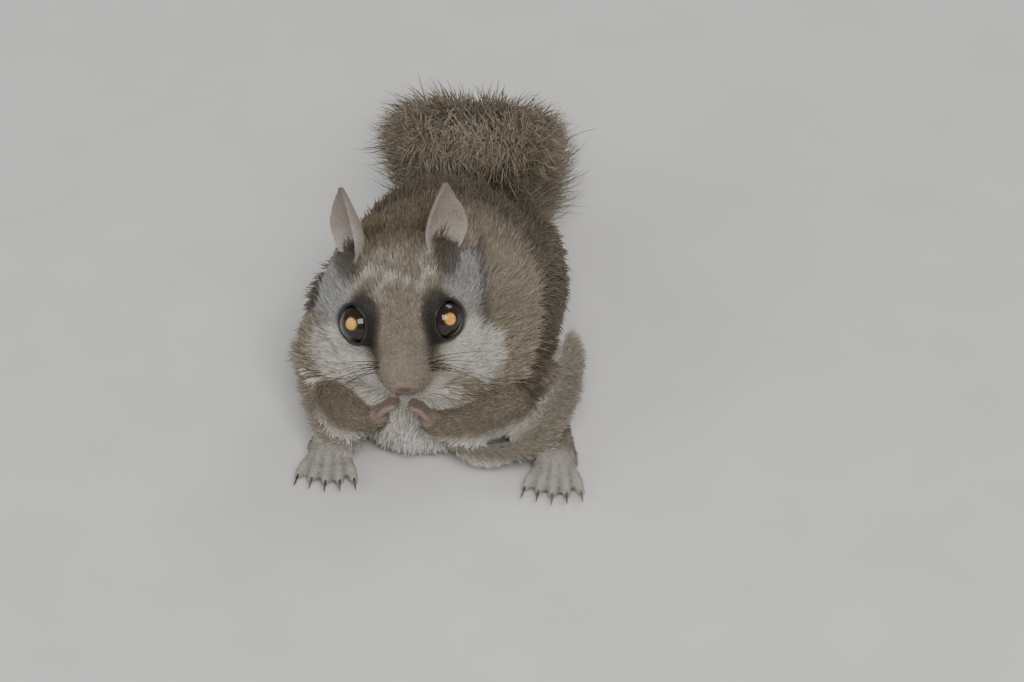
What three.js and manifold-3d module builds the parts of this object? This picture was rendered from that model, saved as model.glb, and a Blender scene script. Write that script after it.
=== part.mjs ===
// Northern flying squirrel, life size, sitting on its haunches and eating with both hands.
// Millimetres, +Z up. It faces -Y, so its own left side is +X. While it is being built, Y counts
// from the tips of the hind toes and X from the middle between the hind feet; at the end the
// whole animal is moved so that the origin lies on the ground under the middle of its box.
import * as THREE from 'three';
import { mergeVertices } from 'three/addons/utils/BufferGeometryUtils.js';
import Module from 'manifold-3d';

const wasm = await Module();
wasm.setup();

// Sizes of the animal
const GAP = 0.3; // between neighbouring pieces
const HEAD_PITCH = THREE.MathUtils.degToRad(47); // the skull's axis below the horizontal
const HEAD_ROLL = THREE.MathUtils.degToRad(4); // the left eye sits a little higher
const HEAD_TURN = THREE.MathUtils.degToRad(3); // the nose points a little to the left
const NOSE_TIP = new THREE.Vector3(-9.6, 15, 24);
const EYE_RADIUS = 5;
const EYE_PLACE = { side: 10.3, back: 15.8, up: 5.2 };
const EYE_LOOK = { side: 0.7, back: -0.2, up: 0.68 };
const EAR_BASE = { side: 11, back: 33, up: 7 };
const EAR_LENGTH = 20;
const EAR_WIDTH = 12.5;
const EAR_WALL = 1.1;
const EAR_CUP = 5.6; // how far its edges stand forward of its middle
const FOOT_SPREAD = 28.5; // from the middle to each hind foot
const FOOT_LENGTH = 36;
const TOE_COUNT = 5;
const CLAW_LENGTH = 3.2;
const EAR_OPEN = { left: 28, right: 58 }; // degrees each ear's cup is turned outwards
const HAUNCH_FRONT = { left: 28, right: 41 }; // how far back each thigh's edge is at the ground
const TAIL_CORE = { halfWidth: 12.5, halfDepth: 4.6, end: 0.87 }; // it ends at a share of the line
const SIDE_LOCKS = { rows: 12, halfWidth: 5.7, halfDepth: 1.5, reach: 16.5, along: 13 };
const FACE_LOCKS = { rows: 6, across: 3, halfWidth: 6, halfDepth: 1.5, length: 23 };
const TIP_LOCKS = { count: 6, spread: 62, halfWidth: 4.8, halfDepth: 1.7, length: 17 };
const HAIR_START = 977; // start of the draws that vary the locks
const TAIL_SIDE = new THREE.Vector3(1, 0, 0); // the way the flat of the tail points

// Finishes
const FINISHES = {
  backFur: { color: 0x6b5844, roughness: 0.92 },
  headFur: { color: 0x7d7466, roughness: 0.9 },
  neckFur: { color: 0x84786a, roughness: 0.92 },
  bellyFur: { color: 0xe3dfd6, roughness: 0.92 },
  legFur: { color: 0x7c6f60, roughness: 0.92 },
  foldFur: { color: 0x8a8174, roughness: 0.92 },
  footFur: { color: 0xa89e90, roughness: 0.9 },
  handSkin: { color: 0xb99487, roughness: 0.7 },
  earSkin: { color: 0x9a8478, roughness: 0.7 },
  tailFur: { color: 0x7a6d5c, roughness: 0.95 },
  eye: { color: 0x0d0906, roughness: 0.08 },
};

// Solids, joined and cut
function solidOf(geometry) {
  const bare = geometry.clone();
  for (const name of Object.keys(bare.attributes)) {
    if (name !== 'position') bare.deleteAttribute(name);
  }
  const merged = mergeVertices(bare, 1e-4);
  const mesh = new wasm.Mesh({
    numProp: 3,
    vertProperties: new Float32Array(merged.attributes.position.array),
    triVerts: new Uint32Array(merged.index.array),
  });
  const solid = new wasm.Manifold(mesh);
  if (solid.volume() > 0) return solid;
  const turned = merged.index.array.slice().reverse();
  return new wasm.Manifold(new wasm.Mesh({
    numProp: 3,
    vertProperties: new Float32Array(merged.attributes.position.array),
    triVerts: new Uint32Array(turned),
  }));
}

// Places are kept to a thousandth of a millimetre, so that equal ones stay equal.
function toGrid(value) {
  return Math.round(value * 1000) / 1000;
}

// True if each edge has exactly two faces, with places that are equal taken as one.
function isClosed(geometry) {
  const at = geometry.attributes.position;
  const named = new Map();
  const number = [];
  for (let i = 0; i < at.count; i += 1) {
    const key = [at.getX(i), at.getY(i), at.getZ(i)].map(toGrid).join();
    if (!named.has(key)) named.set(key, i);
    number.push(named.get(key));
  }
  const edges = new Map();
  const index = geometry.index.array;
  for (let i = 0; i < index.length; i += 3) {
    const face = [0, 1, 2].map((e) => number[index[i + e]]);
    if (new Set(face).size < 3) return false;
    for (let e = 0; e < 3; e += 1) {
      const ends = [face[e], face[(e + 1) % 3]].sort((a, b) => a - b).join();
      edges.set(ends, (edges.get(ends) || 0) + 1);
    }
  }
  return [...edges.values()].every((count) => count === 2);
}

// The faces of a solid, with edges that are shorter than a limit closed up where that stays sound.
function facesOf(solid, shortest) {
  const mesh = solid.getMesh();
  const points = [];
  for (let i = 0; i < mesh.vertProperties.length; i += mesh.numProp) {
    points.push(new THREE.Vector3(...mesh.vertProperties.subarray(i, i + 3)));
  }
  const target = points.map((_, i) => i);
  const root = (i) => (target[i] === i ? i : root(target[i]));
  for (let i = 0; i < mesh.triVerts.length; i += 3) {
    for (let e = 0; e < 3; e += 1) {
      const a = root(mesh.triVerts[i + e]);
      const b = root(mesh.triVerts[i + ((e + 1) % 3)]);
      if (a !== b && points[a].distanceTo(points[b]) < shortest) target[Math.max(a, b)] = Math.min(a, b);
    }
  }
  const index = [];
  for (let i = 0; i < mesh.triVerts.length; i += 3) {
    const face = [0, 1, 2].map((e) => root(mesh.triVerts[i + e]));
    if (new Set(face).size === 3) index.push(...face);
  }
  const place = new Map();
  const kept = [];
  const renumbered = index.map((i) => {
    if (!place.has(i)) {
      place.set(i, kept.length / 3);
      kept.push(...points[i].toArray().map(toGrid));
    }
    return place.get(i);
  });
  const geometry = new THREE.BufferGeometry();
  geometry.setAttribute('position', new THREE.BufferAttribute(new Float32Array(kept), 3));
  geometry.setIndex(renumbered);
  return geometry;
}

function geometryOf(solid, longest) {
  for (const shortest of [0.4, 0.3, 0.22, 0.16, 0.08, 0.03, 0.01].filter((reach) => reach <= longest)) {
    const geometry = facesOf(solid, shortest);
    try {
      const tested = solidOf(geometry);
      if (isClosed(geometry) && tested.decompose().length === 1) {
        geometry.computeVertexNormals();
        return geometry;
      }
    } catch {
      continue;
    }
  }
  throw new Error('a piece has edges that cannot be closed up');
}

function largest(solid) {
  const pieces = solid.decompose();
  return pieces.reduce((best, piece) => (piece.volume() > best.volume() ? piece : best));
}

function joined(solids) {
  return solids.reduce((whole, solid) => whole.add(solid));
}

function without(solid, cutters) {
  return cutters.reduce((left, cutter) => left.subtract(cutter), solid);
}

// A closed body along a path: each station has its place, half sizes and the way its side points.
function loft(stations, sides = 12) {
  const points = [];
  const index = [];
  const count = stations.length;
  const tangent = new THREE.Vector3();
  stations.forEach((station, k) => {
    const before = stations[Math.max(k - 1, 0)].at;
    const after = stations[Math.min(k + 1, count - 1)].at;
    tangent.subVectors(after, before).normalize();
    const side = station.side.clone().addScaledVector(tangent, -station.side.dot(tangent)).normalize();
    const up = new THREE.Vector3().crossVectors(tangent, side).normalize();
    for (let j = 0; j < sides; j += 1) {
      const angle = (2 * Math.PI * j) / sides;
      const across = Math.cos(angle) * station.half[0];
      const along = Math.sin(angle) * station.half[1];
      const point = station.at.clone().addScaledVector(side, across).addScaledVector(up, along);
      if (station.bow) point.addScaledVector(up, station.bow * ((across / station.half[0]) ** 2 - 0.5));
      points.push(point.x, point.y, point.z);
    }
  });
  for (let k = 0; k + 1 < count; k += 1) {
    for (let j = 0; j < sides; j += 1) {
      const a = k * sides + j;
      const b = k * sides + ((j + 1) % sides);
      index.push(a, b, b + sides, a, b + sides, a + sides);
    }
  }
  const first = points.length / 3;
  points.push(...stations[0].at.toArray(), ...stations[count - 1].at.toArray());
  for (let j = 0; j < sides; j += 1) {
    const next = (j + 1) % sides;
    index.push(first, next, j);
    index.push(first + 1, (count - 1) * sides + j, (count - 1) * sides + next);
  }
  const geometry = new THREE.BufferGeometry();
  geometry.setAttribute('position', new THREE.BufferAttribute(new Float32Array(points), 3));
  geometry.setIndex(index);
  return solidOf(geometry);
}

// A limb of round section with rounded ends, through a few centres and radii. A fine one has
// more rings along it and round its ends.
function limb(centres, radii, { sides = 10, grow = 0, flat = 1, fine = false } = {}) {
  const curve = new THREE.CatmullRomCurve3(centres, false, 'centripetal');
  const side = new THREE.Vector3(1, 0, 0);
  const stations = [];
  const radiusAt = (t) => {
    const place = t * (radii.length - 1);
    const k = Math.min(Math.floor(place), radii.length - 2);
    return THREE.MathUtils.lerp(radii[k], radii[k + 1], place - k) + grow;
  };
  const caps = (fine ? [78, 42] : [58]).map(THREE.MathUtils.degToRad);
  const ring = (t, turn, way) => {
    const at = curve.getPoint(t).addScaledVector(curve.getTangent(t), way * radiusAt(t) * Math.sin(turn));
    const half = radiusAt(t) * Math.cos(turn);
    stations.push({ at, half: [half, half * flat], side });
  };
  caps.forEach((turn) => ring(0, turn, -1));
  const steps = (centres.length - 1) * (fine ? 3 : 1);
  for (let i = 0; i <= steps; i += 1) ring(i / steps, 0, 0);
  caps.reverse().forEach((turn) => ring(1, turn, 1));
  return loft(stations, sides);
}

function box(minimum, maximum) {
  const size = new THREE.Vector3().subVectors(maximum, minimum);
  const geometry = new THREE.BoxGeometry(size.x, size.y, size.z);
  geometry.translate(minimum.x + size.x / 2, minimum.y + size.y / 2, minimum.z + size.z / 2);
  return geometry;
}

// A thick slab on the side of a plane that its normal points to.
function halfSpace(point, normal, gap = 0) {
  const slab = box(new THREE.Vector3(-200, -200, gap), new THREE.Vector3(200, 200, 300));
  const turn = new THREE.Quaternion()
    .setFromUnitVectors(new THREE.Vector3(0, 0, 1), normal.clone().normalize());
  slab.applyQuaternion(turn);
  slab.translate(point.x, point.y, point.z);
  return solidOf(slab);
}

// Smooth forms, as distances that are negative inside
function oval(place, radii, turn = null) {
  const unturn = turn ? new THREE.Quaternion().setFromEuler(turn).invert() : null;
  const p = new THREE.Vector3();
  return (x, y, z) => {
    p.set(x - place[0], y - place[1], z - place[2]);
    if (unturn) p.applyQuaternion(unturn);
    const k0 = Math.hypot(p.x / radii[0], p.y / radii[1], p.z / radii[2]);
    const k1 = Math.hypot(p.x / radii[0] ** 2, p.y / radii[1] ** 2, p.z / radii[2] ** 2);
    return k1 < 1e-9 ? -Math.min(...radii) : (k0 * (k0 - 1)) / k1;
  };
}

function taper(from, to, radiusFrom, radiusTo) {
  const a = new THREE.Vector3(...from);
  const axis = new THREE.Vector3(...to).sub(a);
  const length2 = axis.lengthSq();
  const p = new THREE.Vector3();
  return (x, y, z) => {
    p.set(x, y, z).sub(a);
    const t = THREE.MathUtils.clamp(p.dot(axis) / length2, 0, 1);
    return p.addScaledVector(axis, -t).length() - THREE.MathUtils.lerp(radiusFrom, radiusTo, t);
  };
}

function blend(a, b, reach) {
  const h = Math.max(reach - Math.abs(a - b), 0) / reach;
  return Math.min(a, b) - (h * h * reach) / 4;
}

function blended(forms, reach) {
  return (x, y, z) => forms.reduce((d, form) => blend(d, form(x, y, z), reach), 1e3);
}

// The smooth surface of a form as an even net of small faces.
function netOf(form, minimum, maximum, cell, offset = 0) {
  const [nx, ny, nz] = [0, 1, 2].map((i) => Math.ceil((maximum[i] - minimum[i]) / cell) + 1);
  const at = (i, j, k) => i + nx * (j + ny * k);
  const value = new Float32Array(nx * ny * nz);
  for (let k = 0; k < nz; k += 1) {
    for (let j = 0; j < ny; j += 1) {
      for (let i = 0; i < nx; i += 1) {
        const rim = i === 0 || j === 0 || k === 0 || i === nx - 1 || j === ny - 1 || k === nz - 1;
        const here = form(minimum[0] + i * cell, minimum[1] + j * cell, minimum[2] + k * cell) - offset;
        value[at(i, j, k)] = rim ? Math.max(here, cell / 2) : here;
      }
    }
  }
  const vertex = new Int32Array(nx * ny * nz).fill(-1);
  const points = [];
  for (let k = 0; k + 1 < nz; k += 1) {
    for (let j = 0; j + 1 < ny; j += 1) {
      for (let i = 0; i + 1 < nx; i += 1) {
        const corner = [];
        for (let c = 0; c < 8; c += 1) {
          corner.push(value[at(i + (c & 1), j + ((c >> 1) & 1), k + (c >> 2))]);
        }
        const inside = corner.filter((v) => v < 0).length;
        if (inside === 0 || inside === 8) continue;
        const sum = [0, 0, 0];
        let crossings = 0;
        for (let c = 0; c < 8; c += 1) {
          for (let axis = 0; axis < 3; axis += 1) {
            const other = c | (1 << axis);
            if (other === c || (corner[c] < 0) === (corner[other] < 0)) continue;
            const t = corner[c] / (corner[c] - corner[other]);
            const place = [c & 1, (c >> 1) & 1, c >> 2];
            place[axis] += t;
            for (let m = 0; m < 3; m += 1) sum[m] += place[m];
            crossings += 1;
          }
        }
        vertex[at(i, j, k)] = points.length / 3;
        points.push(
          minimum[0] + (i + sum[0] / crossings) * cell,
          minimum[1] + (j + sum[1] / crossings) * cell,
          minimum[2] + (k + sum[2] / crossings) * cell,
        );
      }
    }
  }
  const index = [];
  const step = [[1, 0, 0], [0, 1, 0], [0, 0, 1]];
  for (let k = 0; k + 1 < nz; k += 1) {
    for (let j = 0; j + 1 < ny; j += 1) {
      for (let i = 0; i + 1 < nx; i += 1) {
        for (let axis = 0; axis < 3; axis += 1) {
          const cellPlace = [i, j, k];
          if (cellPlace[(axis + 1) % 3] === 0 || cellPlace[(axis + 2) % 3] === 0) continue;
          const [di, dj, dk] = step[axis];
          const here = value[at(i, j, k)] < 0;
          if (here === (value[at(i + di, j + dj, k + dk)] < 0)) continue;
          const [ui, uj, uk] = step[(axis + 1) % 3];
          const [wi, wj, wk] = step[(axis + 2) % 3];
          const quad = [
            vertex[at(i, j, k)],
            vertex[at(i - ui, j - uj, k - uk)],
            vertex[at(i - ui - wi, j - uj - wj, k - uk - wk)],
            vertex[at(i - wi, j - wj, k - wk)],
          ];
          if (!here) quad.reverse();
          index.push(quad[0], quad[1], quad[2], quad[0], quad[2], quad[3]);
        }
      }
    }
  }
  settle(points, form, offset, cell / 2);
  const geometry = new THREE.BufferGeometry();
  geometry.setAttribute('position', new THREE.BufferAttribute(new Float32Array(points), 3));
  geometry.setIndex(index);
  return solidOf(geometry);
}

// Moves net points onto the form's true surface, a little at a time.
function settle(points, form, offset, most) {
  const small = 0.05;
  for (let round = 0; round < 3; round += 1) {
    for (let i = 0; i < points.length; i += 3) {
      const [x, y, z] = points.slice(i, i + 3);
      const here = form(x, y, z) - offset;
      if (Math.abs(here) > most) continue;
      const gx = form(x + small, y, z) - offset - here;
      const gy = form(x, y + small, z) - offset - here;
      const gz = form(x, y, z + small) - offset - here;
      const slope = Math.hypot(gx, gy, gz) / small;
      if (slope < 0.2) continue;
      const move = -here / (slope * slope * small);
      points[i] += gx * move;
      points[i + 1] += gy * move;
      points[i + 2] += gz * move;
    }
  }
}

// The head's own frame: side (to +X), back (from the nose along the skull) and up (off the skull).
const headTurn = new THREE.Matrix4()
  .makeRotationZ(HEAD_TURN)
  .multiply(new THREE.Matrix4().makeBasis(
    new THREE.Vector3(1, 0, 0),
    new THREE.Vector3(0, Math.cos(HEAD_PITCH), Math.sin(HEAD_PITCH)),
    new THREE.Vector3(0, -Math.sin(HEAD_PITCH), Math.cos(HEAD_PITCH)),
  ))
  .multiply(new THREE.Matrix4().makeRotationZ(HEAD_ROLL));
const headFrame = new THREE.Matrix4().makeTranslation(NOSE_TIP).multiply(headTurn);
const headFrameBack = headFrame.clone().invert();

function onHead(side, back, up) {
  return new THREE.Vector3(side, back, up).applyMatrix4(headFrame);
}

function headWay(side, back, up) {
  return new THREE.Vector3(side, back, up).transformDirection(headFrame);
}

function inHeadFrame(form) {
  const p = new THREE.Vector3();
  return (x, y, z) => {
    p.set(x, y, z).applyMatrix4(headFrameBack);
    return form(p.x, p.y, p.z);
  };
}

function both(make) {
  return [make(1), make(-1)];
}

// Head: braincase, cheeks, brows, muzzle with its whisker pads, and jaw
const headForm = inHeadFrame(blended([
  oval([0, 26.5, 0.5], [16.5, 16, 12.5]),
  ...both((s) => oval([s * 11, 20.5, -3.5], [9, 11, 8])),
  ...both((s) => oval([s * 6.4, 17.5, 5.6], [4.6, 7, 3.6])),
  taper([0, 15, 1.6], [0, 4.2, -0.9], 8.2, 4.4),
  ...both((s) => oval([s * 2.9, 4.6, -2.2], [3.4, 4.4, 3.1])),
  oval([0, 10, -6.4], [6.2, 9, 4.2]),
  oval([0, 0.6, -0.2], [2.3, 1.8, 1.9]),
], 4.5));

// Body: ruff, shoulders, breast, belly, rump and haunches
const bodyForm = blended([
  inHeadFrame(oval([2, 17, -17], [28.5, 26, 12.5])),
  oval([-3, 49, 33], [24.5, 24.5, 26.5]),
  oval([-5, 39, 13], [23, 20, 15]),
  oval([-7, 30, 6.5], [17, 17.5, 8]),
  oval([0, 60, 21], [25.5, 32, 22.5]),
  oval([0, 75, 17.5], [24.5, 27, 19]),
  ...both((s) => oval([s * 14, 60, 18], [12.5, 25, 19], new THREE.Euler(0.16, 0, 0))),
  ...both((s) => oval([s * 18, 37, 13], [8, 12.5, 12])),
], 6);

function wholeForm(x, y, z) {
  return blend(bodyForm(x, y, z), headForm(x, y, z), 3.5);
}

const BODY_BOX = [[-44, 4, -6], [36, 112, 72]];
const BODY_CELL = 4.6;
const HEAD_CELL = 2.75;

const floor = solidOf(box(new THREE.Vector3(-200, -200, -60), new THREE.Vector3(200, 200, 0)));
const body = netOf(wholeForm, ...BODY_BOX, BODY_CELL).subtract(floor);
const bodyCutter = netOf(wholeForm, ...BODY_BOX, BODY_CELL, GAP + 0.05);
const headBox = [[-38, 4, 8], [20, 60, 66]];
const headNet = netOf(wholeForm, ...headBox, HEAD_CELL);
const headCutter = netOf(wholeForm, ...headBox, HEAD_CELL, GAP + 0.02);

function headOval(grow) {
  const geometry = new THREE.SphereGeometry(1, 28, 16);
  geometry.scale(22 + grow, 22.5 + grow, 17.5 + grow);
  geometry.translate(0, 17, 2);
  geometry.applyMatrix4(headFrame);
  return solidOf(geometry);
}

// Eyes and lids
function eyeCentre(s) {
  return onHead(s * EYE_PLACE.side, EYE_PLACE.back, EYE_PLACE.up);
}

function eyeBall(s, grow) {
  const geometry = new THREE.SphereGeometry(EYE_RADIUS + grow, 18, 10);
  const centre = eyeCentre(s);
  geometry.translate(centre.x, centre.y, centre.z);
  return solidOf(geometry);
}

function lidRing(s) {
  const look = headWay(s * EYE_LOOK.side, EYE_LOOK.back, EYE_LOOK.up);
  const out = 1.7;
  const geometry = new THREE.TorusGeometry(Math.sqrt(EYE_RADIUS ** 2 - out ** 2) + 0.35, 1.0, 6, 18);
  geometry.scale(1, 1, 1.1);
  geometry.applyQuaternion(new THREE.Quaternion().setFromUnitVectors(new THREE.Vector3(0, 0, 1), look));
  const centre = eyeCentre(s).addScaledVector(look, out);
  geometry.translate(centre.x, centre.y, centre.z);
  return solidOf(geometry);
}

// Mouth: a slit with a rolled lip on each side, and the split under the nose
function mouthCurve(drop) {
  const points = [
    [-5.4, 8.6, -5.6], [-3.9, 4.6, -4.9], [-1.9, 1.9, -4.2], [0, 1.2, -3.6],
    [1.9, 1.9, -4.2], [3.9, 4.6, -4.9], [5.4, 8.6, -5.6],
  ];
  return new THREE.CatmullRomCurve3(points.map(([r, a, u]) => onHead(r, a, u - drop)));
}

function sweep(curve, width, depth, steps) {
  const stations = [];
  for (let i = 0; i <= steps; i += 1) {
    const t = i / steps;
    const ends = Math.min(1, 0.35 + 2.6 * Math.min(t, 1 - t));
    stations.push({ at: curve.getPoint(t), half: [depth * ends, width * ends], side: headWay(0, 0.25, 1) });
  }
  return loft(stations, 6);
}

const upperLip = sweep(mouthCurve(-0.9), 0.95, 0.95, 14);
const lowerLip = sweep(mouthCurve(0.95), 0.9, 0.9, 14);
const mouthSlit = sweep(mouthCurve(0), 1.9, 0.32, 14);
const lipSplit = limb([onHead(0, -1.6, -1.5), onHead(0, 0.2, -4.2)], [0.35, 0.35], { sides: 6 });

function nostril(s) {
  return limb(
    [onHead(s * 1.1, -1.9, 0.1), onHead(s * 1.35, 0.6, 0.3)],
    [0.62, 0.42],
    { sides: 7 },
  );
}

const eyeSockets = both((s) => eyeBall(s, GAP));
const head = without(
  joined([headNet.intersect(headOval(0)), ...both(lidRing), upperLip, lowerLip]),
  [...eyeSockets, mouthSlit, lipSplit, ...both(nostril)],
);

// Ears: thin cupped leaves, widest low down, that narrow to a soft point
function ear(s) {
  const base = onHead(s * EAR_BASE.side, EAR_BASE.back, EAR_BASE.up);
  const way = headWay(s * 0.1, 0.74, 0.62);
  const open = THREE.MathUtils.degToRad(s > 0 ? EAR_OPEN.left : EAR_OPEN.right);
  const front = new THREE.Vector3().crossVectors(headWay(1, 0, 0), way).normalize();
  const side = headWay(-1, 0, 0).multiplyScalar(Math.cos(open)).addScaledVector(front, s * Math.sin(open));
  const rings = 8;
  const stations = [];
  for (let i = 0; i <= rings; i += 1) {
    const t = i / rings;
    const rise = Math.sin(Math.PI * Math.min(0.5, 0.2 + t * 0.9));
    const round = Math.max(1 - (Math.max(t - 0.33, 0) / 0.69) ** 1.6, 0.14);
    const half = (EAR_WIDTH / 2) * Math.max(rise, 0.5) * round;
    const at = base.clone().addScaledVector(way, t * EAR_LENGTH);
    const bow = EAR_CUP * round * (1 - 0.35 * t);
    stations.push({ at, half: [half, EAR_WALL * (0.75 - 0.25 * t)], side, bow });
  }
  return loft(stations, 14);
}

// Arms: elbow beside the breast, wrist under the chin
const ARMS = [
  { s: 1, elbow: [16, 24, 12.5], middle: [8, 16.8, 11.6], wrist: [-1.2, 12.9, 13.6] },
  { s: -1, elbow: [-27.5, 24, 12.5], middle: [-24, 16.6, 11.8], wrist: [-18.2, 12.9, 13.8] },
];

function forearm(arm, grow) {
  const centres = [arm.elbow, arm.middle, arm.wrist].map((p) => new THREE.Vector3(...p));
  return limb(centres, [6.2, 5.2, 3.5], { grow, sides: 12, fine: true });
}

// Hands: a palm, four bent fingers and their claws
function hand(arm) {
  const inward = -arm.s;
  const wrist = new THREE.Vector3(...arm.wrist);
  const palm = limb(
    [wrist, wrist.clone().add(new THREE.Vector3(inward * 2.1, -0.6, 2.2))],
    [2.7, 2.9],
    { sides: 10 },
  );
  const fingers = [];
  for (let i = 0; i < 4; i += 1) {
    const spread = i - 1.5;
    const toKnuckles = new THREE.Vector3(inward * 2.2, -0.7 + spread * 1.35, 3.2 - spread * 0.5);
    const root = wrist.clone().add(toKnuckles);
    const knuckle = root.clone().add(new THREE.Vector3(inward * 2.1, spread * 0.35, 2.6));
    const tip = knuckle.clone().add(new THREE.Vector3(inward * 2.1, 0.5, 0.6));
    fingers.push(limb([root, knuckle, tip], [1.05, 0.95, 0.8], { sides: 6 }));
    const claw = tip.clone().add(new THREE.Vector3(inward * 1.4, 0.5, -0.9));
    fingers.push(limb([tip, claw], [0.5, 0.25], { sides: 4 }));
  }
  return joined([palm, ...fingers]);
}

// Hind feet: a long flat foot with five spread toes and claws
function hindFoot(s, grow) {
  const heel = new THREE.Vector3(s * (FOOT_SPREAD - 3), FOOT_LENGTH, 4);
  const ball = new THREE.Vector3(s * FOOT_SPREAD, 13, 3.4);
  const sole = limb(
    [heel, heel.clone().lerp(ball, 0.5), ball],
    [4.4, 4.7, 6.0],
    { sides: 10, flat: 0.72, grow },
  );
  const ankle = limb(
    [heel.clone().add(new THREE.Vector3(-s * 1.5, -3, 9)), heel],
    [6.2, 4.4],
    { sides: 10, grow },
  );
  const toes = [];
  for (let i = 0; i < TOE_COUNT; i += 1) {
    const spread = i - (TOE_COUNT - 1) / 2;
    const reach = 9.2 - Math.abs(spread - 0.2) * 1.1;
    const root = ball.clone().add(new THREE.Vector3(spread * 2.2, -2.5, -0.9));
    const bend = root.clone().add(new THREE.Vector3(spread * 0.75, -reach * 0.5, 0.4));
    const tip = root.clone().add(new THREE.Vector3(spread * 1.35, -reach * 0.9, -0.7));
    toes.push(limb([root, bend, tip], [1.9, 1.75, 1.35], { sides: 6, grow }));
    const claw = tip.clone().add(new THREE.Vector3(spread * 0.25, -CLAW_LENGTH, -0.5));
    toes.push(limb([tip, claw], [0.7, 0.25], { sides: 4, grow }));
  }
  return joined([sole, ankle, ...toes]).subtract(floor);
}

// Folds of the gliding skin: from under the wrist, sagging low, out over the foot and up the flank
const FOLDS = [
  {
    s: 1,
    places: [
      [0.5, 13.4, 9.6], [10, 11.6, 5.6], [20, 14.4, 7.2],
      [26.2, 24, 11], [29.6, 36, 16.4], [29.6, 46.5, 20.2],
    ],
    widths: [1.9, 3.4, 5.8, 5.9, 4.2, 1.8],
  },
  {
    s: -1,
    places: [
      [-20, 13.4, 9.8], [-24.4, 12.6, 6.2], [-29, 16, 8],
      [-33, 25, 12], [-35.6, 36, 17], [-35.4, 46.5, 20.4],
    ],
    widths: [1.9, 2.6, 3.6, 4.2, 3.4, 1.6],
  },
];

function fold(plan, grow) {
  const places = plan.places.map((p) => new THREE.Vector3(...p));
  const curve = new THREE.CatmullRomCurve3(places, false, 'centripetal');
  const steps = 13;
  const stations = [];
  for (let i = 0; i <= steps; i += 1) {
    const t = i / steps;
    const place = t * (plan.widths.length - 1);
    const k = Math.min(Math.floor(place), plan.widths.length - 2);
    const width = THREE.MathUtils.lerp(plan.widths[k], plan.widths[k + 1], place - k);
    const ends = Math.sqrt(Math.min(1, 0.12 + 9 * Math.min(t, 1 - t)));
    const lift = THREE.MathUtils.smoothstep(t, 0.08, 0.45);
    const side = new THREE.Vector3(0, -0.3, 1)
      .lerp(new THREE.Vector3(plan.s, 0.1 - 0.4 * t, 0.25), lift)
      .normalize();
    stations.push({ at: curve.getPoint(t), half: [width * ends + grow, 2.1 * ends + grow], side });
  }
  return loft(stations, 12);
}

// Tail: along the ground behind the rump, round in a tight bend and forward over the back
const tailCurve = new THREE.CatmullRomCurve3([
  [0, 92, 10], [0, 103, 9.4], [0, 114, 9.2], [-0.3, 122.6, 14], [-0.6, 121, 22.6], [-0.7, 110, 31],
  [-0.8, 98, 39.4], [-0.8, 87, 46.6], [-0.8, 76, 53],
].map((p) => new THREE.Vector3(...p)), false, 'centripetal');

// Draws from a fixed start, so that the hair falls the same way each time.
let drawn = HAIR_START;
function draw(low, high) {
  drawn = (drawn * 16807) % 2147483647;
  return low + ((high - low) * drawn) / 2147483647;
}

// How wide the tail is at a place along it: narrow at the root, then even, and round at the end.
function tailSwell(t) {
  const root = Math.min(1, 0.66 + 2.4 * t);
  const end = Math.sqrt(Math.max(1 - (Math.max(t - 0.72, 0) / 0.3) ** 2, 0.04));
  return root * end;
}

function tailCore() {
  const steps = 18;
  const stations = [];
  for (let i = 0; i <= steps; i += 1) {
    const t = (TAIL_CORE.end * i) / steps;
    const round = Math.sqrt(Math.max(1 - (Math.max(t / TAIL_CORE.end - 0.86, 0) / 0.145) ** 2, 0.1));
    stations.push({
      at: tailCurve.getPointAt(t),
      half: [TAIL_CORE.halfWidth * tailSwell(t) * round, TAIL_CORE.halfDepth * (0.75 + 0.25 * round)],
      side: TAIL_SIDE,
    });
  }
  return loft(stations, 12);
}

// One flat lock from its root, through its bend, to its tip.
function lock(path, flatWay, halfWidth, halfDepth) {
  const curve = new THREE.QuadraticBezierCurve3(...path);
  const shape = [[0, 0.72, 1], [0.36, 1, 0.95], [0.72, 0.74, 0.7], [1, 0.14, 0.3]];
  return loft(shape.map(([t, wide, deep]) => ({
    at: curve.getPoint(t),
    half: [halfWidth * wide, halfDepth * deep],
    side: flatWay,
  })), 4);
}

// A place beside the tail's middle line: to the side, further along the line, and outwards.
function beside(t, side, along, out) {
  const place = t + along / tailCurve.getLength();
  const on = THREE.MathUtils.clamp(place, 0, 1);
  const way = tailCurve.getTangentAt(on);
  return tailCurve.getPointAt(on)
    .addScaledVector(way, (place - on) * tailCurve.getLength())
    .addScaledVector(TAIL_SIDE, side)
    .addScaledVector(new THREE.Vector3().crossVectors(way, TAIL_SIDE).normalize(), out);
}

function sideLocks() {
  const locks = [];
  for (let row = 0; row < SIDE_LOCKS.rows; row += 1) {
    const t = 0.1 + (0.74 * row) / (SIDE_LOCKS.rows - 1);
    for (const s of [1, -1]) {
      const swell = tailSwell(t);
      const tier = ((row + (s > 0 ? 0 : 1)) % 2 === 0 ? 1 : -1) * 1.9;
      const root = TAIL_CORE.halfWidth * swell - 4;
      const reach = SIDE_LOCKS.reach * swell * draw(0.92, 1.06);
      const along = SIDE_LOCKS.along * draw(0.85, 1.2);
      const path = [
        beside(t, s * root, -2, tier * 0.7),
        beside(t, s * (root + reach * 0.72), along * 0.2, tier * 1.5),
        beside(t, s * (root + 2 + reach), along, tier * draw(0.6, 1.2)),
      ];
      const flat = tailCurve.getTangentAt(t).multiplyScalar(s).addScaledVector(TAIL_SIDE, -0.5);
      locks.push(lock(path, flat, SIDE_LOCKS.halfWidth, SIDE_LOCKS.halfDepth));
    }
  }
  return locks;
}

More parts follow.
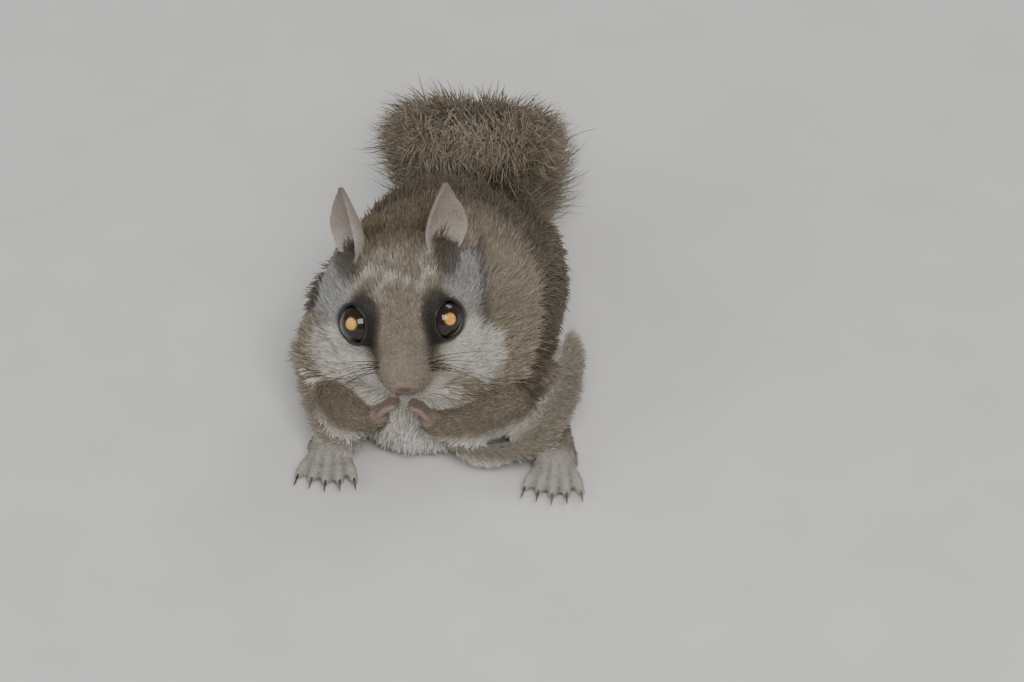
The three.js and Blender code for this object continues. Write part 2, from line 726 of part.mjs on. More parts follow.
function faceLocks() {
  const locks = [];
  for (let row = 0; row < FACE_LOCKS.rows; row += 1) {
    for (const face of [1, -1]) {
      const t = Math.min(0.06 + (0.72 * (row + (face > 0 ? 0 : 0.5))) / (FACE_LOCKS.rows - 1), 0.8);
      for (let k = 0; k < FACE_LOCKS.across; k += 1) {
        const place = (k - (FACE_LOCKS.across - 1) / 2) * 8.2 * tailSwell(t) + draw(-0.7, 0.7);
        const length = FACE_LOCKS.length * draw(0.85, 1.1);
        const splay = place * 0.35;
        const lift = TAIL_CORE.halfDepth - Math.abs(place) * 0.12;
        const path = [
          beside(t, place, 0, face * (lift - 2.2)),
          beside(t, place + splay * 0.5, length * 0.45, face * (lift + 3.6)),
          beside(t, place + splay, length, face * (lift + draw(2, 3))),
        ];
        locks.push(lock(path, TAIL_SIDE, FACE_LOCKS.halfWidth, FACE_LOCKS.halfDepth));
      }
    }
  }
  return locks;
}

function tipLocks() {
  const t = TAIL_CORE.end - 0.03;
  const locks = [];
  for (let i = 0; i < TIP_LOCKS.count; i += 1) {
    const share = (i / (TIP_LOCKS.count - 1)) * 2 - 1;
    const turn = THREE.MathUtils.degToRad(share * TIP_LOCKS.spread);
    const length = TIP_LOCKS.length * draw(0.92, 1.08);
    const tier = (i % 2 === 0 ? 1 : -1) * 1.6;
    const side = share * 6;
    const path = [
      beside(t, side, -4, tier * 0.5),
      beside(t, side + Math.sin(turn) * length * 0.5, Math.cos(turn) * length * 0.5, tier * 1.6),
      beside(t, side + Math.sin(turn) * length * 0.9, Math.cos(turn) * length, tier * 0.8),
    ];
    const flat = TAIL_SIDE.clone()
      .multiplyScalar(Math.cos(turn))
      .addScaledVector(tailCurve.getTangentAt(t), -Math.sin(turn));
    locks.push(lock(path, flat, TIP_LOCKS.halfWidth, TIP_LOCKS.halfDepth));
  }
  return locks;
}

function tailPlane(t, gap) {
  const point = tailCurve.getPointAt(t);
  return halfSpace(point, tailCurve.getTangentAt(t), gap);
}

const tailCuts = [0.36, 0.66];
const tail = joined([tailCore(), ...sideLocks(), ...faceLocks(), ...tipLocks()])
  .subtract(bodyCutter)
  .subtract(floor);

// Parting the body
const across = new THREE.Vector3(0, -1, 0.25);
const ruffBack = new THREE.Vector3(0, 39, 30);
const breastTop = new THREE.Vector3(0, 0, 17);
const up = new THREE.Vector3(0, 0, 1);
const down = new THREE.Vector3(0, 0, -1);
const rumpFront = new THREE.Vector3(0, 79, 0);
const forward = new THREE.Vector3(0, -1, 0);
const backward = new THREE.Vector3(0, 1, 0);

// The corner of the body that holds one thigh, a little larger by the gap where it cuts others.
function haunchCorner(s, gap) {
  const side = halfSpace(new THREE.Vector3(s * (23 - gap), 0, 36), new THREE.Vector3(s, 0, -0.33));
  const edge = s > 0 ? HAUNCH_FRONT.left : HAUNCH_FRONT.right;
  const front = halfSpace(new THREE.Vector3(0, edge - gap, 0), new THREE.Vector3(0, 1, 0.3));
  const back = halfSpace(new THREE.Vector3(0, 91 + gap, 0), new THREE.Vector3(0, -1, -0.15));
  return side.intersect(front).intersect(back);
}

const trunk = body.subtract(headOval(GAP));
const frontPart = trunk.intersect(halfSpace(ruffBack, across));
const backPart = trunk.intersect(halfSpace(ruffBack, across.clone().negate(), GAP));
const haunchCutter = joined(both((s) => haunchCorner(s, GAP)));
const neck = frontPart.intersect(halfSpace(breastTop, up, GAP)).subtract(haunchCutter);
const breast = frontPart.intersect(halfSpace(breastTop, down)).subtract(haunchCutter);
const haunches = both((s) => trunk.intersect(haunchCorner(s, 0)));
const middle = backPart.subtract(haunchCutter);
const torso = middle.intersect(halfSpace(rumpFront, forward));
const rump = middle.intersect(halfSpace(rumpFront, backward, GAP));

const footCutters = both((s) => hindFoot(s, GAP));
const forearms = ARMS.map((arm, i) => without(
  forearm(arm, 0),
  [bodyCutter, headCutter, footCutters[i]],
).subtract(floor));
const hands = ARMS.map((arm) => without(hand(arm), [forearm(arm, GAP), headCutter, bodyCutter]));
const feet = both((s) => without(hindFoot(s, 0), [bodyCutter]));
const folds = FOLDS.map((plan, i) => without(
  fold(plan, 0),
  [bodyCutter, forearm(ARMS[i], GAP), headCutter, footCutters[i]],
).subtract(floor));
const ears = both((s) => without(ear(s), [headCutter]));

const squirrel = new THREE.Group();
squirrel.name = 'flying_squirrel';

function place(name, solid, finish) {
  const geometry = geometryOf(largest(solid), name === 'head' ? 0.16 : 0.4);
  const material = new THREE.MeshStandardMaterial({ metalness: 0, ...FINISHES[finish] });
  const mesh = new THREE.Mesh(geometry, material);
  mesh.name = name;
  squirrel.add(mesh);
}

place('head', head, 'headFur');
place('neck', neck, 'neckFur');
place('breast', breast, 'bellyFur');
place('torso', torso, 'backFur');
place('rump', rump, 'backFur');
['left', 'right'].forEach((side, i) => {
  place(`haunch_${side}`, haunches[i], 'legFur');
  place(`hind_foot_${side}`, feet[i], 'footFur');
  place(`forearm_${side}`, forearms[i], 'legFur');
  place(`hand_${side}`, hands[i], 'handSkin');
  place(`glide_fold_${side}`, folds[i], 'foldFur');
  place(`ear_${side}`, ears[i], 'earSkin');
  place(`eye_${side}`, eyeBall(i === 0 ? 1 : -1, 0), 'eye');
});
place('tail_root', tail.subtract(tailPlane(tailCuts[0], 0)), 'tailFur');
const tailMiddle = tail.intersect(tailPlane(tailCuts[0], GAP)).subtract(tailPlane(tailCuts[1], 0));
place('tail_middle', tailMiddle, 'tailFur');
place('tail_end', tail.intersect(tailPlane(tailCuts[1], GAP)), 'tailFur');

const bounds = new THREE.Box3().setFromObject(squirrel);
const centre = bounds.getCenter(new THREE.Vector3());
squirrel.position.set(toGrid(-centre.x), toGrid(-centre.y), -bounds.min.z);

export default squirrel;
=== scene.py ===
"""The looks of a life-size flying squirrel that sits hunched and holds both hands to its mouth.

One smooth skin takes the place of the flesh nodes. A coat of fine tufts lies on it, and the eyes,
lids, nose, whiskers and claws are pieces of their own. Sizes in the classes are in millimetres in
the animal's own layout: Y counts back from the tips of the hind toes, X from the middle between
the hind feet to the animal's left, and Z up from the ground.
"""

import logging
import math
from dataclasses import dataclass, field
from enum import Enum
from typing import Any, Iterable, Optional, Union

import bmesh
import bpy
import numpy as np
from mathutils import Matrix, Vector, noise
from mathutils.bvhtree import BVHTree
from mathutils.kdtree import KDTree


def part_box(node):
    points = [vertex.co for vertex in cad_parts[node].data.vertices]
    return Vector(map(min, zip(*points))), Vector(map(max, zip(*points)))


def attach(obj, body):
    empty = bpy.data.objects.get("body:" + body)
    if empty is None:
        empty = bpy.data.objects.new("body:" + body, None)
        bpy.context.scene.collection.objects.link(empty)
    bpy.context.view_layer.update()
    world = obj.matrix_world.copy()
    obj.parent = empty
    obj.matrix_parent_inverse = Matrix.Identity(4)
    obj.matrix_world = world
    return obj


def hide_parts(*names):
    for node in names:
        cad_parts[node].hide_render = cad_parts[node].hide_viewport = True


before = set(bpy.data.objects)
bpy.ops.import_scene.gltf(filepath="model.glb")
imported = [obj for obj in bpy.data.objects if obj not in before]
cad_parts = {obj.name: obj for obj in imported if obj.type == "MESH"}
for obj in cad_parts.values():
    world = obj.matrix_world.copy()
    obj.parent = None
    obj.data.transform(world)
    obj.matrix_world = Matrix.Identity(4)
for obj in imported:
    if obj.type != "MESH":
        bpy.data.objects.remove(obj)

logging.basicConfig(level=logging.INFO, format="%(message)s")
log = logging.getLogger("squirrel")

Array = np.ndarray
Pair = tuple[float, float]
Triple = tuple[float, float, float]
Shape = tuple[Array, list]
Roots = dict[str, Array]
BODY = "root"
MM = 0.001
BAKE_MAP = "OFBake"
COLOUR = "coat"
# Millimetres: the tail's middle line from the left, and the lowest hair above the ground
TAIL_MIDDLE = -0.6
LOWEST_HAIR = 0.4
# Steps along the tail's middle line
LINE_POINTS = 400


def unit(vectors: Array) -> Array:
    """Gives the vectors the length 1."""
    vectors = np.asarray(vectors, dtype=np.float64)
    return vectors / np.maximum(np.linalg.norm(vectors, axis=-1, keepdims=True), 1e-12)


def ease(low: float, high: float, value: Array) -> Array:
    """Rises smoothly from 0 at low to 1 at high."""
    t = np.clip((np.asarray(value) - low) / (high - low), 0.0, 1.0)
    return t * t * (3 - 2 * t)


def bump_at(value: Array, centre: float, reach: float) -> Array:
    """Is 1 at the centre and falls smoothly to 0 at the reach on both sides."""
    return 1 - ease(0.0, reach, np.abs(np.asarray(value) - centre))


def dot(a: Array, b: Array) -> Array:
    """Multiplies two rows of vectors and adds up each row."""
    return np.sum(np.asarray(a) * np.asarray(b), axis=-1)


def turn_z(degrees: float) -> Array:
    """Is the matrix of a turn about the upright axis."""
    c, s = math.cos(math.radians(degrees)), math.sin(math.radians(degrees))
    return np.array([[c, -s, 0], [s, c, 0], [0, 0, 1]])


def linear(colour: Triple) -> Array:
    """Turns a screen colour from 0 to 255 into the amount of light it stands for."""
    c = np.array(colour) / 255
    return np.where(c <= 0.04045, c / 12.92, ((c + 0.055) / 1.055) ** 2.4)


class Side(Enum):
    """The animal's own left and right."""

    LEFT = 1
    RIGHT = -1

    @property
    def word(self) -> str:
        """Is the side's name in a node."""
        return self.name.lower()


@dataclass(frozen=True)
class Layout:
    """Places on the animal, in the layout the solids were built in.

    Args:
        nose: tip of the nose.
        pitch: slope of the skull below the horizontal, in degrees.
        roll: roll of the skull, in degrees.
        turn: turn of the skull to the left, in degrees.
        eye: eye's place from the nose: side, back and up.
        look: way the left eye looks: side, back and up.
        eye_radius: radius of the eyeball.
        foot_spread: middle to each hind foot.
    """

    nose: Triple = (-9.6, 15.0, 24.0)
    pitch: float = 47.0
    roll: float = 4.0
    turn: float = 3.0
    eye: Triple = (10.3, 15.8, 5.2)
    look: Triple = (0.7, -0.2, 0.68)
    eye_radius: float = 5.0
    foot_spread: float = 28.5

    def head_axes(self) -> Array:
        """Has the head's side, back and up directions in its columns.

        Returns:
            A matrix with the three directions in its columns.
        """
        p = math.radians(self.pitch)
        base = np.array([[1, 0, 0], [0, math.cos(p), -math.sin(p)], [0, math.sin(p), math.cos(p)]])
        return turn_z(self.turn) @ base @ turn_z(self.roll)

    def on_head(self, place: Union[Triple, Array]) -> Array:
        """Gives the layout's place of side, back and up on the head."""
        return np.asarray(place, dtype=float) @ self.head_axes().T + np.array(self.nose)

    def head_way(self, way: Union[Triple, Array]) -> Array:
        """Gives the layout's direction of side, back and up on the head."""
        return unit(np.asarray(way, dtype=float) @ self.head_axes().T)

    def from_nose(self, points: Array) -> Array:
        """Gives side, back and up from the nose for places in the layout."""
        return (points - np.array(self.nose)) @ self.head_axes()

    def eye_centre(self, side: Side) -> Array:
        """Is the middle of one eyeball."""
        return self.on_head((side.value * self.eye[0], self.eye[1], self.eye[2]))

    def eye_way(self, side: Side) -> Array:
        """Is the way one eye looks."""
        return self.head_way((side.value * self.look[0], self.look[1], self.look[2]))

    def from_eyes(self, points: Array) -> Array:
        """Is the distance to the middle of the nearer eye, for places in the layout."""
        return np.min([np.linalg.norm(points - self.eye_centre(s), axis=1) for s in Side], axis=0)

    def shift(self) -> Array:
        """Is the step from the layout to the frame, taken from where the left eye's solid is.

        Returns:
            The step in millimetres.
        """
        low, high = (np.array(corner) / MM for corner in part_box("eye_left"))
        step = (low + high) / 2 - self.eye_centre(Side.LEFT)
        return np.array([step[0], step[1], 0.0])

    def to_frame(self, points: Union[Triple, Array]) -> Array:
        """Turns places in the layout into metres in the frame."""
        return (np.asarray(points, dtype=float) + self.shift()) * MM

    def from_frame(self, points: Array) -> Array:
        """Turns metres in the frame into places in the layout."""
        return np.asarray(points, dtype=float) / MM - self.shift()


@dataclass(frozen=True)
class TailPath:
    """The tail's run: back along the ground, round a bend and forward over the back.

    Args:
        places: points on the middle line.
        end: share of the line where the core ends and only hair goes on.
        half_width: half the core's width.
        half_depth: half the core's depth.
    """

    places: tuple[Triple, ...] = (
        (0, 92, 10), (0, 103, 9.4), (0, 114, 9.2), (-0.3, 122.6, 14), (-0.6, 121, 22.6),
        (-0.7, 110, 31), (-0.8, 98, 39.4), (-0.8, 87, 46.6), (-0.8, 76, 53),
    )
    end: float = 0.87
    half_width: float = 12.5
    half_depth: float = 4.2

    def line(self, count: int) -> Array:
        """Is the middle line as evenly spaced points through the given places.

        Args:
            count: number of points.

        Returns:
            The points.
        """
        p = np.array(self.places, dtype=float)
        p = np.vstack([2 * p[0] - p[1], p, 2 * p[-1] - p[-2]])
        points = []
        for i in range(1, len(p) - 2):
            for t in np.arange(24) / 24:
                a, b, c, d = p[i - 1], p[i], p[i + 1], p[i + 2]
                points.append(0.5 * (2 * b + (c - a) * t + (2 * a - 5 * b + 4 * c - d) * t**2
                                     + (3 * b - a - 3 * c + d) * t**3))
        points = np.array(points + [p[-2]])
        run = np.concatenate([[0], np.cumsum(np.linalg.norm(np.diff(points, axis=0), axis=1))])
        even = np.linspace(0, run[-1], count)
        return np.stack([np.interp(even, run, points[:, k]) for k in range(3)], axis=1)

    def beside(self, t: Array, side: Array, out: Array) -> Array:
        """Finds places next to the middle line, also past its end.

        Args:
            t: share of the way along the line.
            side: distance to the left.
            out: distance outwards, across the tail's flat.

        Returns:
            The places.
        """
        line = self.line(LINE_POINTS + 1)
        ways = unit(np.gradient(line, axis=0))
        on = np.clip(t, 0, 1)
        rows = np.arange(LINE_POINTS + 1)
        row = [np.interp(on * LINE_POINTS, rows, line[:, k]) for k in range(3)]
        way = unit(np.stack([np.interp(on * LINE_POINTS, rows, ways[:, k]) for k in range(3)], axis=1))
        outward = unit(np.cross(way, np.array([1.0, 0, 0])))
        past = ((t - on) * self.length())[:, None]
        place = np.stack(row, axis=1) + way * past + outward * out[:, None]
        place[:, 0] += side
        return place

    def length(self) -> float:
        """Is the length of the middle line."""
        return float(np.linalg.norm(np.diff(self.line(LINE_POINTS + 1), axis=0), axis=1).sum())

    @staticmethod
    def swell(t: Array) -> Array:
        """Is the share of the full width at a place along the tail.

        Args:
            t: share of the way along the line.

        Returns:
            The share.
        """
        t = np.asarray(t, dtype=float)
        root = np.minimum(1, 0.66 + 2.4 * t)
        return root * np.sqrt(np.maximum(1 - (np.maximum(t - 0.72, 0) / 0.3) ** 2, 0.04))


class Value:
    """One output of a shader node, which can be used in sums as a number is."""

    def __init__(self, shader: "Shader", socket: bpy.types.NodeSocket) -> None:
        """Keeps the socket and the shader it belongs to."""
        self.shader = shader
        self.socket = socket

    @property
    def wide(self) -> bool:
        """Tells whether it is a colour or a vector."""
        return self.socket.type in ("RGBA", "VECTOR")

    def _sum(self, operation: str, first: Any, second: Any) -> "Value":
        """Makes the node for one sum, as a number or as a vector.

        Args:
            operation: the node's operation.
            first: first value.
            second: second value.

        Returns:
            The result.
        """
        wide = any(isinstance(v, Value) and v.wide or isinstance(v, tuple) for v in (first, second))
        kind = "ShaderNodeVectorMath" if wide else "ShaderNodeMath"
        if wide:
            first, second = (v if isinstance(v, (Value, tuple)) else (v, v, v) for v in (first, second))
        return self.shader.node(kind, {"operation": operation}, {0: first, 1: second})

    def __add__(self, other: Any) -> "Value":
        """Adds."""
        return self._sum("ADD", self, other)

    def __radd__(self, other: Any) -> "Value":
        """Adds to something that isn't a socket."""
        return self._sum("ADD", other, self)

    def __mul__(self, other: Any) -> "Value":
        """Multiplies."""
        return self._sum("MULTIPLY", self, other)

    def __rmul__(self, other: Any) -> "Value":
        """Multiplies something that isn't a socket."""
        return self._sum("MULTIPLY", other, self)

    def between(self, low: float, high: float, start: float = 0.0, end: float = 1.0) -> "Value":
        """Carries the range low to high over to start to end, smoothly.

        Args:
            low: start of the range.
            high: end of the range.
            start: value at the start.
            end: value at the end.

        Returns:
            The result.
        """
        return self.shader.node(
            "ShaderNodeMapRange",
            {"interpolation_type": "SMOOTHSTEP"},
            {"Value": self, "From Min": low, "From Max": high, "To Min": start, "To Max": end},
        )


class Shader:
    """A material that is written as sums over sockets."""

    def __init__(self, name: str) -> None:
        """Starts a material with one surface shader.

        Args:
            name: the material's name.
        """
        self.material = bpy.data.materials.new(name)
        self.material.use_nodes = True
        self.tree = self.material.node_tree
        self.surface = next(n for n in self.tree.nodes if n.type == "BSDF_PRINCIPLED")

    def _fill(self, socket: bpy.types.NodeSocket, value: Any) -> None:
        """Links a value to a socket, or sets it.

        Args:
            socket: socket to fill.
            value: a value or another socket.
        """
        if isinstance(value, Value):
            self.tree.links.new(value.socket, socket)
        elif socket.type == "RGBA" and len(value) == 3:
            socket.default_value = (*value, 1.0)
        else:
            socket.default_value = value

    def node(
        self,
        kind: str,
        settings: Optional[dict[str, Any]] = None,
        sockets: Optional[dict[Union[str, int], Any]] = None,
        output: Union[str, int] = 0,
    ) -> Value:
        """Adds any node.

        Args:
            kind: the node's type.
            settings: its settings, set before the sockets.
            sockets: values or links by the socket's name or number.
            output: the output to go on with.

        Returns:
            The chosen output.
        """
        made = self.tree.nodes.new(kind)
        for name, value in (settings or {}).items():
            setattr(made, name, value)
        for name, value in (sockets or {}).items():
            self._fill(made.inputs[name], value)
        return Value(self, made.outputs[output])

    def mixed(self, first: Any, second: Any, share: Any) -> Value:
        """Mixes two colours by a share from 0 to 1."""
        return self.node("ShaderNodeMix", {"data_type": "RGBA"}, {0: share, 6: first, 7: second}, 2)

    def place(self) -> Value:
        """Is the place on the piece, in metres."""
        return self.node("ShaderNodeTexCoord", output="Object")

    def noise(self, scale: float, detail: float = 3.0, stretch: Triple = (1, 1, 1)) -> Value:
        """Is a soft noise over the place, with the number of its waves in a metre.

        Args:
            scale: waves in a metre.
            detail: how much finer noise lies on it.
            stretch: stretch of the place along each axis.

        Returns:
            The noise, 0 to 1.
        """
        sockets = {"Vector": self.place() * stretch, "Scale": scale, "Detail": detail}
        return self.node("ShaderNodeTexNoise", None, sockets)

    def painted(self) -> Value:
        """Is the colour that the piece carries at each place."""
        return self.node("ShaderNodeAttribute", {"attribute_name": COLOUR}, output="Color")

    def bumped(self, height: Value, strength: float, distance: float) -> Value:
        """Turns a height into a bent normal.

        Args:
            height: height of the relief.
            strength: strength of the relief.
            distance: its depth in metres.

        Returns:
            The normal.
        """
        return self.node("ShaderNodeBump", None,
                         {"Height": height, "Strength": strength, "Distance": distance}, "Normal")

    def finish(self, **sockets: Any) -> bpy.types.Material:
        """Sets the surface's sockets, with _ for a space, and gives the material.

        Args:
            sockets: values or links by the socket's name.

        Returns:
            The material.
        """
        for name, value in sockets.items():
            self._fill(self.surface.inputs[name.replace("_", " ")], value)
        return self.material


@dataclass(frozen=True)
class FurFinish:
    """Hair: the painted colour with fine streaks, and a soft sheen.

    Args:
        name: the material's name.
        roughness: how dull the hair is.
        sheen: how much light its edges catch.
    """

    name: str
    roughness: float = 0.62
    sheen: float = 0.12

    def make(self) -> bpy.types.Material:
        """Makes the material.

        Returns:
            The material.
        """
        s = Shader(self.name)
        streak = s.noise(900.0, 4.0).between(0.3, 0.7, 0.84, 1.14)
        patch = s.noise(90.0, 2.0).between(0.35, 0.65, 0.93, 1.06)
        return s.finish(
            Base_Color=s.painted() * streak * patch,
            Roughness=s.noise(500.0).between(0.3, 0.7, self.roughness - 0.08, self.roughness + 0.1),
            Specular_IOR_Level=0.35, Sheen_Weight=self.sheen, Sheen_Roughness=0.4,
        )


@dataclass(frozen=True)
class SkinFinish:
    """Skin with a short flat underfur: the painted colour, with fine relief.

    Args:
        name: the material's name.
        shade: how light the skin is against the coat over it.
    """

    name: str
    shade: float = 0.72

    def make(self) -> bpy.types.Material:
        """Makes the material.

        Returns:
            The material.
        """
        s = Shader(self.name)
        fine = s.noise(2600.0, 4.0)
        broad = s.noise(420.0, 3.0)
        return s.finish(
            Base_Color=s.painted() * fine.between(0.3, 0.7, self.shade * 0.8, self.shade * 1.2),
            Roughness=broad.between(0.3, 0.7, 0.6, 0.85),
            Normal=s.bumped(fine + broad * 0.6, 0.5, 0.0003), Specular_IOR_Level=0.3,
        )


@dataclass(frozen=True)
class BareFinish:
    """Moist bare skin of the nose, lips and lids.

    Args:
        name: the material's name.
        colour: main colour, 0 to 255.
        deep: colour of its darker blotches, 0 to 255.
        roughness: how dull it is.
    """

    name: str
    colour: Triple
    deep: Triple
    roughness: float = 0.42

    def make(self) -> bpy.types.Material:
        """Makes the material.

        Returns:
            The material.
        """
        s = Shader(self.name)
        grain = s.noise(3200.0, 5.0)
        blotch = s.noise(700.0, 2.0).between(0.35, 0.65)
        colour = s.mixed(tuple(linear(self.colour)), tuple(linear(self.deep)), blotch)
        return s.finish(
            Base_Color=colour * grain.between(0.3, 0.7, 0.85, 1.12),
            Roughness=grain.between(0.3, 0.7, self.roughness - 0.1, self.roughness + 0.12),
            Normal=s.bumped(grain, 0.35, 0.0002), Coat_Weight=0.15, Coat_Roughness=0.3,
        )


@dataclass(frozen=True)
class EyeFinish:
    """A large wet dark eye with a painted warm reflection deep in the pupil."""

    name: str = "wet_eye"

    def make(self) -> bpy.types.Material:
        """Makes the material.

        Returns:
            The material.
        """
        s = Shader(self.name)
        fibres = s.noise(1500.0, 4.0).between(0.3, 0.7, 0.8, 1.2)
        return s.finish(
            Base_Color=s.painted() * fibres, Roughness=s.noise(300.0).between(0.3, 0.7, 0.1, 0.16),
            Coat_Weight=0.6, Coat_Roughness=0.02, IOR=1.4, Specular_IOR_Level=0.3,
        )


@dataclass(frozen=True)
class HornFinish:
    """Horn of the claws, or a whisker, with darker streaks.

    Args:
        name: the material's name.
        colour: main colour, 0 to 255.
        deep: colour of its streaks, 0 to 255.
    """

    name: str
    colour: Triple
    deep: Triple

    def make(self) -> bpy.types.Material:
        """Makes the material.

        Returns:
            The material.
        """
        s = Shader(self.name)
        streak = s.noise(1400.0, 3.0, (1, 0.3, 1)).between(0.35, 0.65)
        colour = s.mixed(tuple(linear(self.colour)), tuple(linear(self.deep)), streak)
        return s.finish(
            Base_Color=colour, Roughness=streak.between(0, 1, 0.3, 0.45), Specular_IOR_Level=0.5,
        )


@dataclass(frozen=True)
class FloorFinish:
    """A plain pale matt floor."""

    name: str = "pale_floor"

    def make(self) -> bpy.types.Material:
        """Makes the material.

        Returns:
            The material.
        """
        s = Shader(self.name)
        grain = s.noise(35.0, 4.0)
        colour = s.mixed((0.66, 0.65, 0.63), (0.7, 0.69, 0.67), grain.between(0.3, 0.7))
        return s.finish(Base_Color=colour, Roughness=grain.between(0.3, 0.7, 0.75, 0.85))


@dataclass(frozen=True)
class Markings:
    """The animal's colours and painted shade, as screen colours for its parts and rules for where they
    lie.
    """

    layout: Layout
    forehead: Triple = (148, 138, 122)
    crown: Triple = (110, 95, 72)
    muzzle: Triple = (148, 138, 124)
    stripe: Triple = (66, 56, 47)
    eye_ring: Triple = (36, 30, 26)
    grey_cheek: Triple = (168, 167, 164)
    white: Triple = (218, 213, 204)
    ruff: Triple = (150, 139, 120)
    # Painted shade for the crease round the cheeks and the gaps between the toes
    ruff_deep: Triple = (62, 53, 43)
    back: Triple = (86, 73, 53)
    flank: Triple = (106, 94, 76)
    leg: Triple = (134, 123, 106)
    fold: Triple = (142, 133, 118)
    foot: Triple = (136, 127, 115)
    toe: Triple = (176, 170, 161)
    hand: Triple = (152, 133, 121)
    # Painted shade for the gaps between the fingers
    hand_deep: Triple = (96, 76, 67)
    ear: Triple = (164, 151, 141)
    ear_edge: Triple = (104, 90, 78)
    # Painted shade towards the tail's sides
    tail: Triple = (148, 137, 119)
    tail_edge: Triple = (106, 94, 78)

    @staticmethod
    def _over(base: Array, colour: Triple, share: Array) -> Array:
        """Lays a colour over others by a share for each place."""
        return base + (linear(colour) - base) * np.clip(share, 0, 1)[:, None]

    def face(self, p: Array) -> Array:
        """Is the colour of places on the head and the ruff, which run into each other.

        Args:
            p: places in the layout.

        Returns:
            One colour for each place.
        """
        side, back, up = self.layout.from_nose(p).T
        out = np.abs(side)
        brow = (1 - ease(9, 14, out)) * (1 - ease(34, 42, back)) * ease(-4, 2, up)
        fleck = np.array([noise.noise(Vector(q * 0.42)) for q in p])
        c = self._over(self._body(p), self.forehead, brow)
        c = self._over(c, self.white, 0.6 * brow * ease(0.0, 0.35, fleck) * bump_at(back, 27, 11))
        crown = ease(29, 38, back) * (1 - ease(42, 50, back)) * (1 - ease(9, 14, out))
        c = self._over(c, self.crown, crown)
        c = self._over(c, self.grey_cheek, 0.9 * self._spot(out, back, (16.5, 25), (5.5, 9)))
        c = self._over(c, self.white, self._spot(out, back, (16.8, 9), (7.5, 8)) * ease(-16, -9, up))
        # Painted shade: a dark band in the crease round the cheeks, where the ruff meets the face
        line = bump_at(np.hypot(out, (back - 20) * 0.45), 20.4, 1.7) * ease(10, 15, back)
        c = self._over(c, self.ruff_deep, 0.7 * line * ease(-6, 0, up) * (1 - ease(32, 38, back)))
        c = self._over(c, self.muzzle, (1 - ease(9, 15, back)) * (1 - ease(5, 8, out)))
        stripe = bump_at(out, 7.4, 2.6) * bump_at(back, 9.5, 7) * ease(-4, 0, up)
        c = self._over(c, self.stripe, 0.8 * stripe)
        chin = (1 - ease(-7, -4, up)) * (1 - ease(11, 18, back)) * (1 - ease(9, 15, out))
        c = self._over(c, self.white, 0.8 * chin)
        ring = self._spot(out, back, (9.5, 16.6), (4.8, 7.2)) * ease(-2, 1, up)
        c = self._over(c, self.eye_ring, 0.9 * ring)
        c = self._over(c, self.eye_ring, 0.9 * (1 - ease(5.8, 7.2, self.layout.from_eyes(p))))
        # Painted shade in the hollow between each eye and ear
        hollow_shade = self._spot(out, back, (12.2, 31.5), (3.6, 6.5)) * ease(-4, 2, up)
        c = self._over(c, self.stripe, 0.75 * hollow_shade)
        return self._over(c, self.white, 1 - ease(6, 12, p[:, 2] + 0.25 * (p[:, 1] - 15)))

    @staticmethod
    def _spot(out: Array, back: Array, centre: Pair, reach: Pair) -> Array:
        """Is a soft oval spot, 1 in its middle and 0 outside.

        Args:
            out: distance from the middle.
            back: distance behind the nose.
            centre: the spot's middle: out and back.
            reach: its half sizes: out and back.

        Returns:
            The spot's share at each place.
        """
        away = np.hypot((out - centre[0]) / reach[0], (back - centre[1]) / reach[1])
        return 1 - ease(0.7, 1.15, away)

    def _body(self, p: Array) -> Array:
        """Is the colour of the flanks, the back and the ruff, which run into each other.

        Args:
            p: places in the layout.

        Returns:
            One colour for each place.
        """
        c = np.repeat(linear(self.flank)[None], len(p), axis=0)
        c = self._over(c, self.back, ease(20, 40, p[:, 2]))
        return self._over(c, self.ruff, 1 - ease(43, 58, p[:, 1] + 0.3 * (p[:, 2] - 30)))

    def trunk(self, p: Array) -> Array:
        """Is the colour of places on the back, flanks and rump."""
        return self._over(self._body(p), self.white, 1 - ease(1, 5, p[:, 2]))

    def tail_hair(self, p: Array) -> Array:
        """Is the colour of places on the tail, with painted shade towards its sides."""
        c = np.repeat(linear(self.tail)[None], len(p), axis=0)
        # Painted shade: the tail darkens towards its sides, as if its edges turned away from the light
        return self._over(c, self.tail_edge, ease(8, 24, np.abs(p[:, 0] - TAIL_MIDDLE)))

    def at(self, p: Array, node: str) -> Array:
        """Is the colour of places on a node.

        Args:
            p: places in the layout.
            node: the node they are on.

        Returns:
            One colour for each place.
        """
        if node in ("head", "neck"):
            return self.face(p)
        if node in ("torso", "rump"):
            return self.trunk(p)
        if node.startswith("tail"):
            return self.tail_hair(p)
        if node == "breast":
            return np.repeat(linear(self.white)[None], len(p), axis=0)
        word = node.rsplit("_", 1)[0]
        base = {"haunch": self.flank, "forearm": self.leg, "hand": self.hand, "hind_foot": self.foot,
                "glide_fold": self.fold, "ear": self.ear}[word]
        c = np.repeat(linear(base)[None], len(p), axis=0)
        if word == "hind_foot":
            c = self._over(c, self.toe, 1 - ease(9, 17, p[:, 1]))
            # Painted shade: darker gaps between the toes
            away = np.abs(p[:, 0]) - self.layout.foot_spread
            place = away / (2.2 + 1.35 * np.clip((10.5 - p[:, 1]) / 8, 0, 1))
            between = ease(0.26, 0.46, np.abs(place - np.round(place))) * (1 - ease(8.5, 12, p[:, 1]))
            return self._over(c, self.ruff_deep, 0.6 * between * (np.abs(place) < 2))
        if word == "forearm":
            return self._over(c, self.white, 1 - ease(9, 13, p[:, 2]))
        if word == "hand":
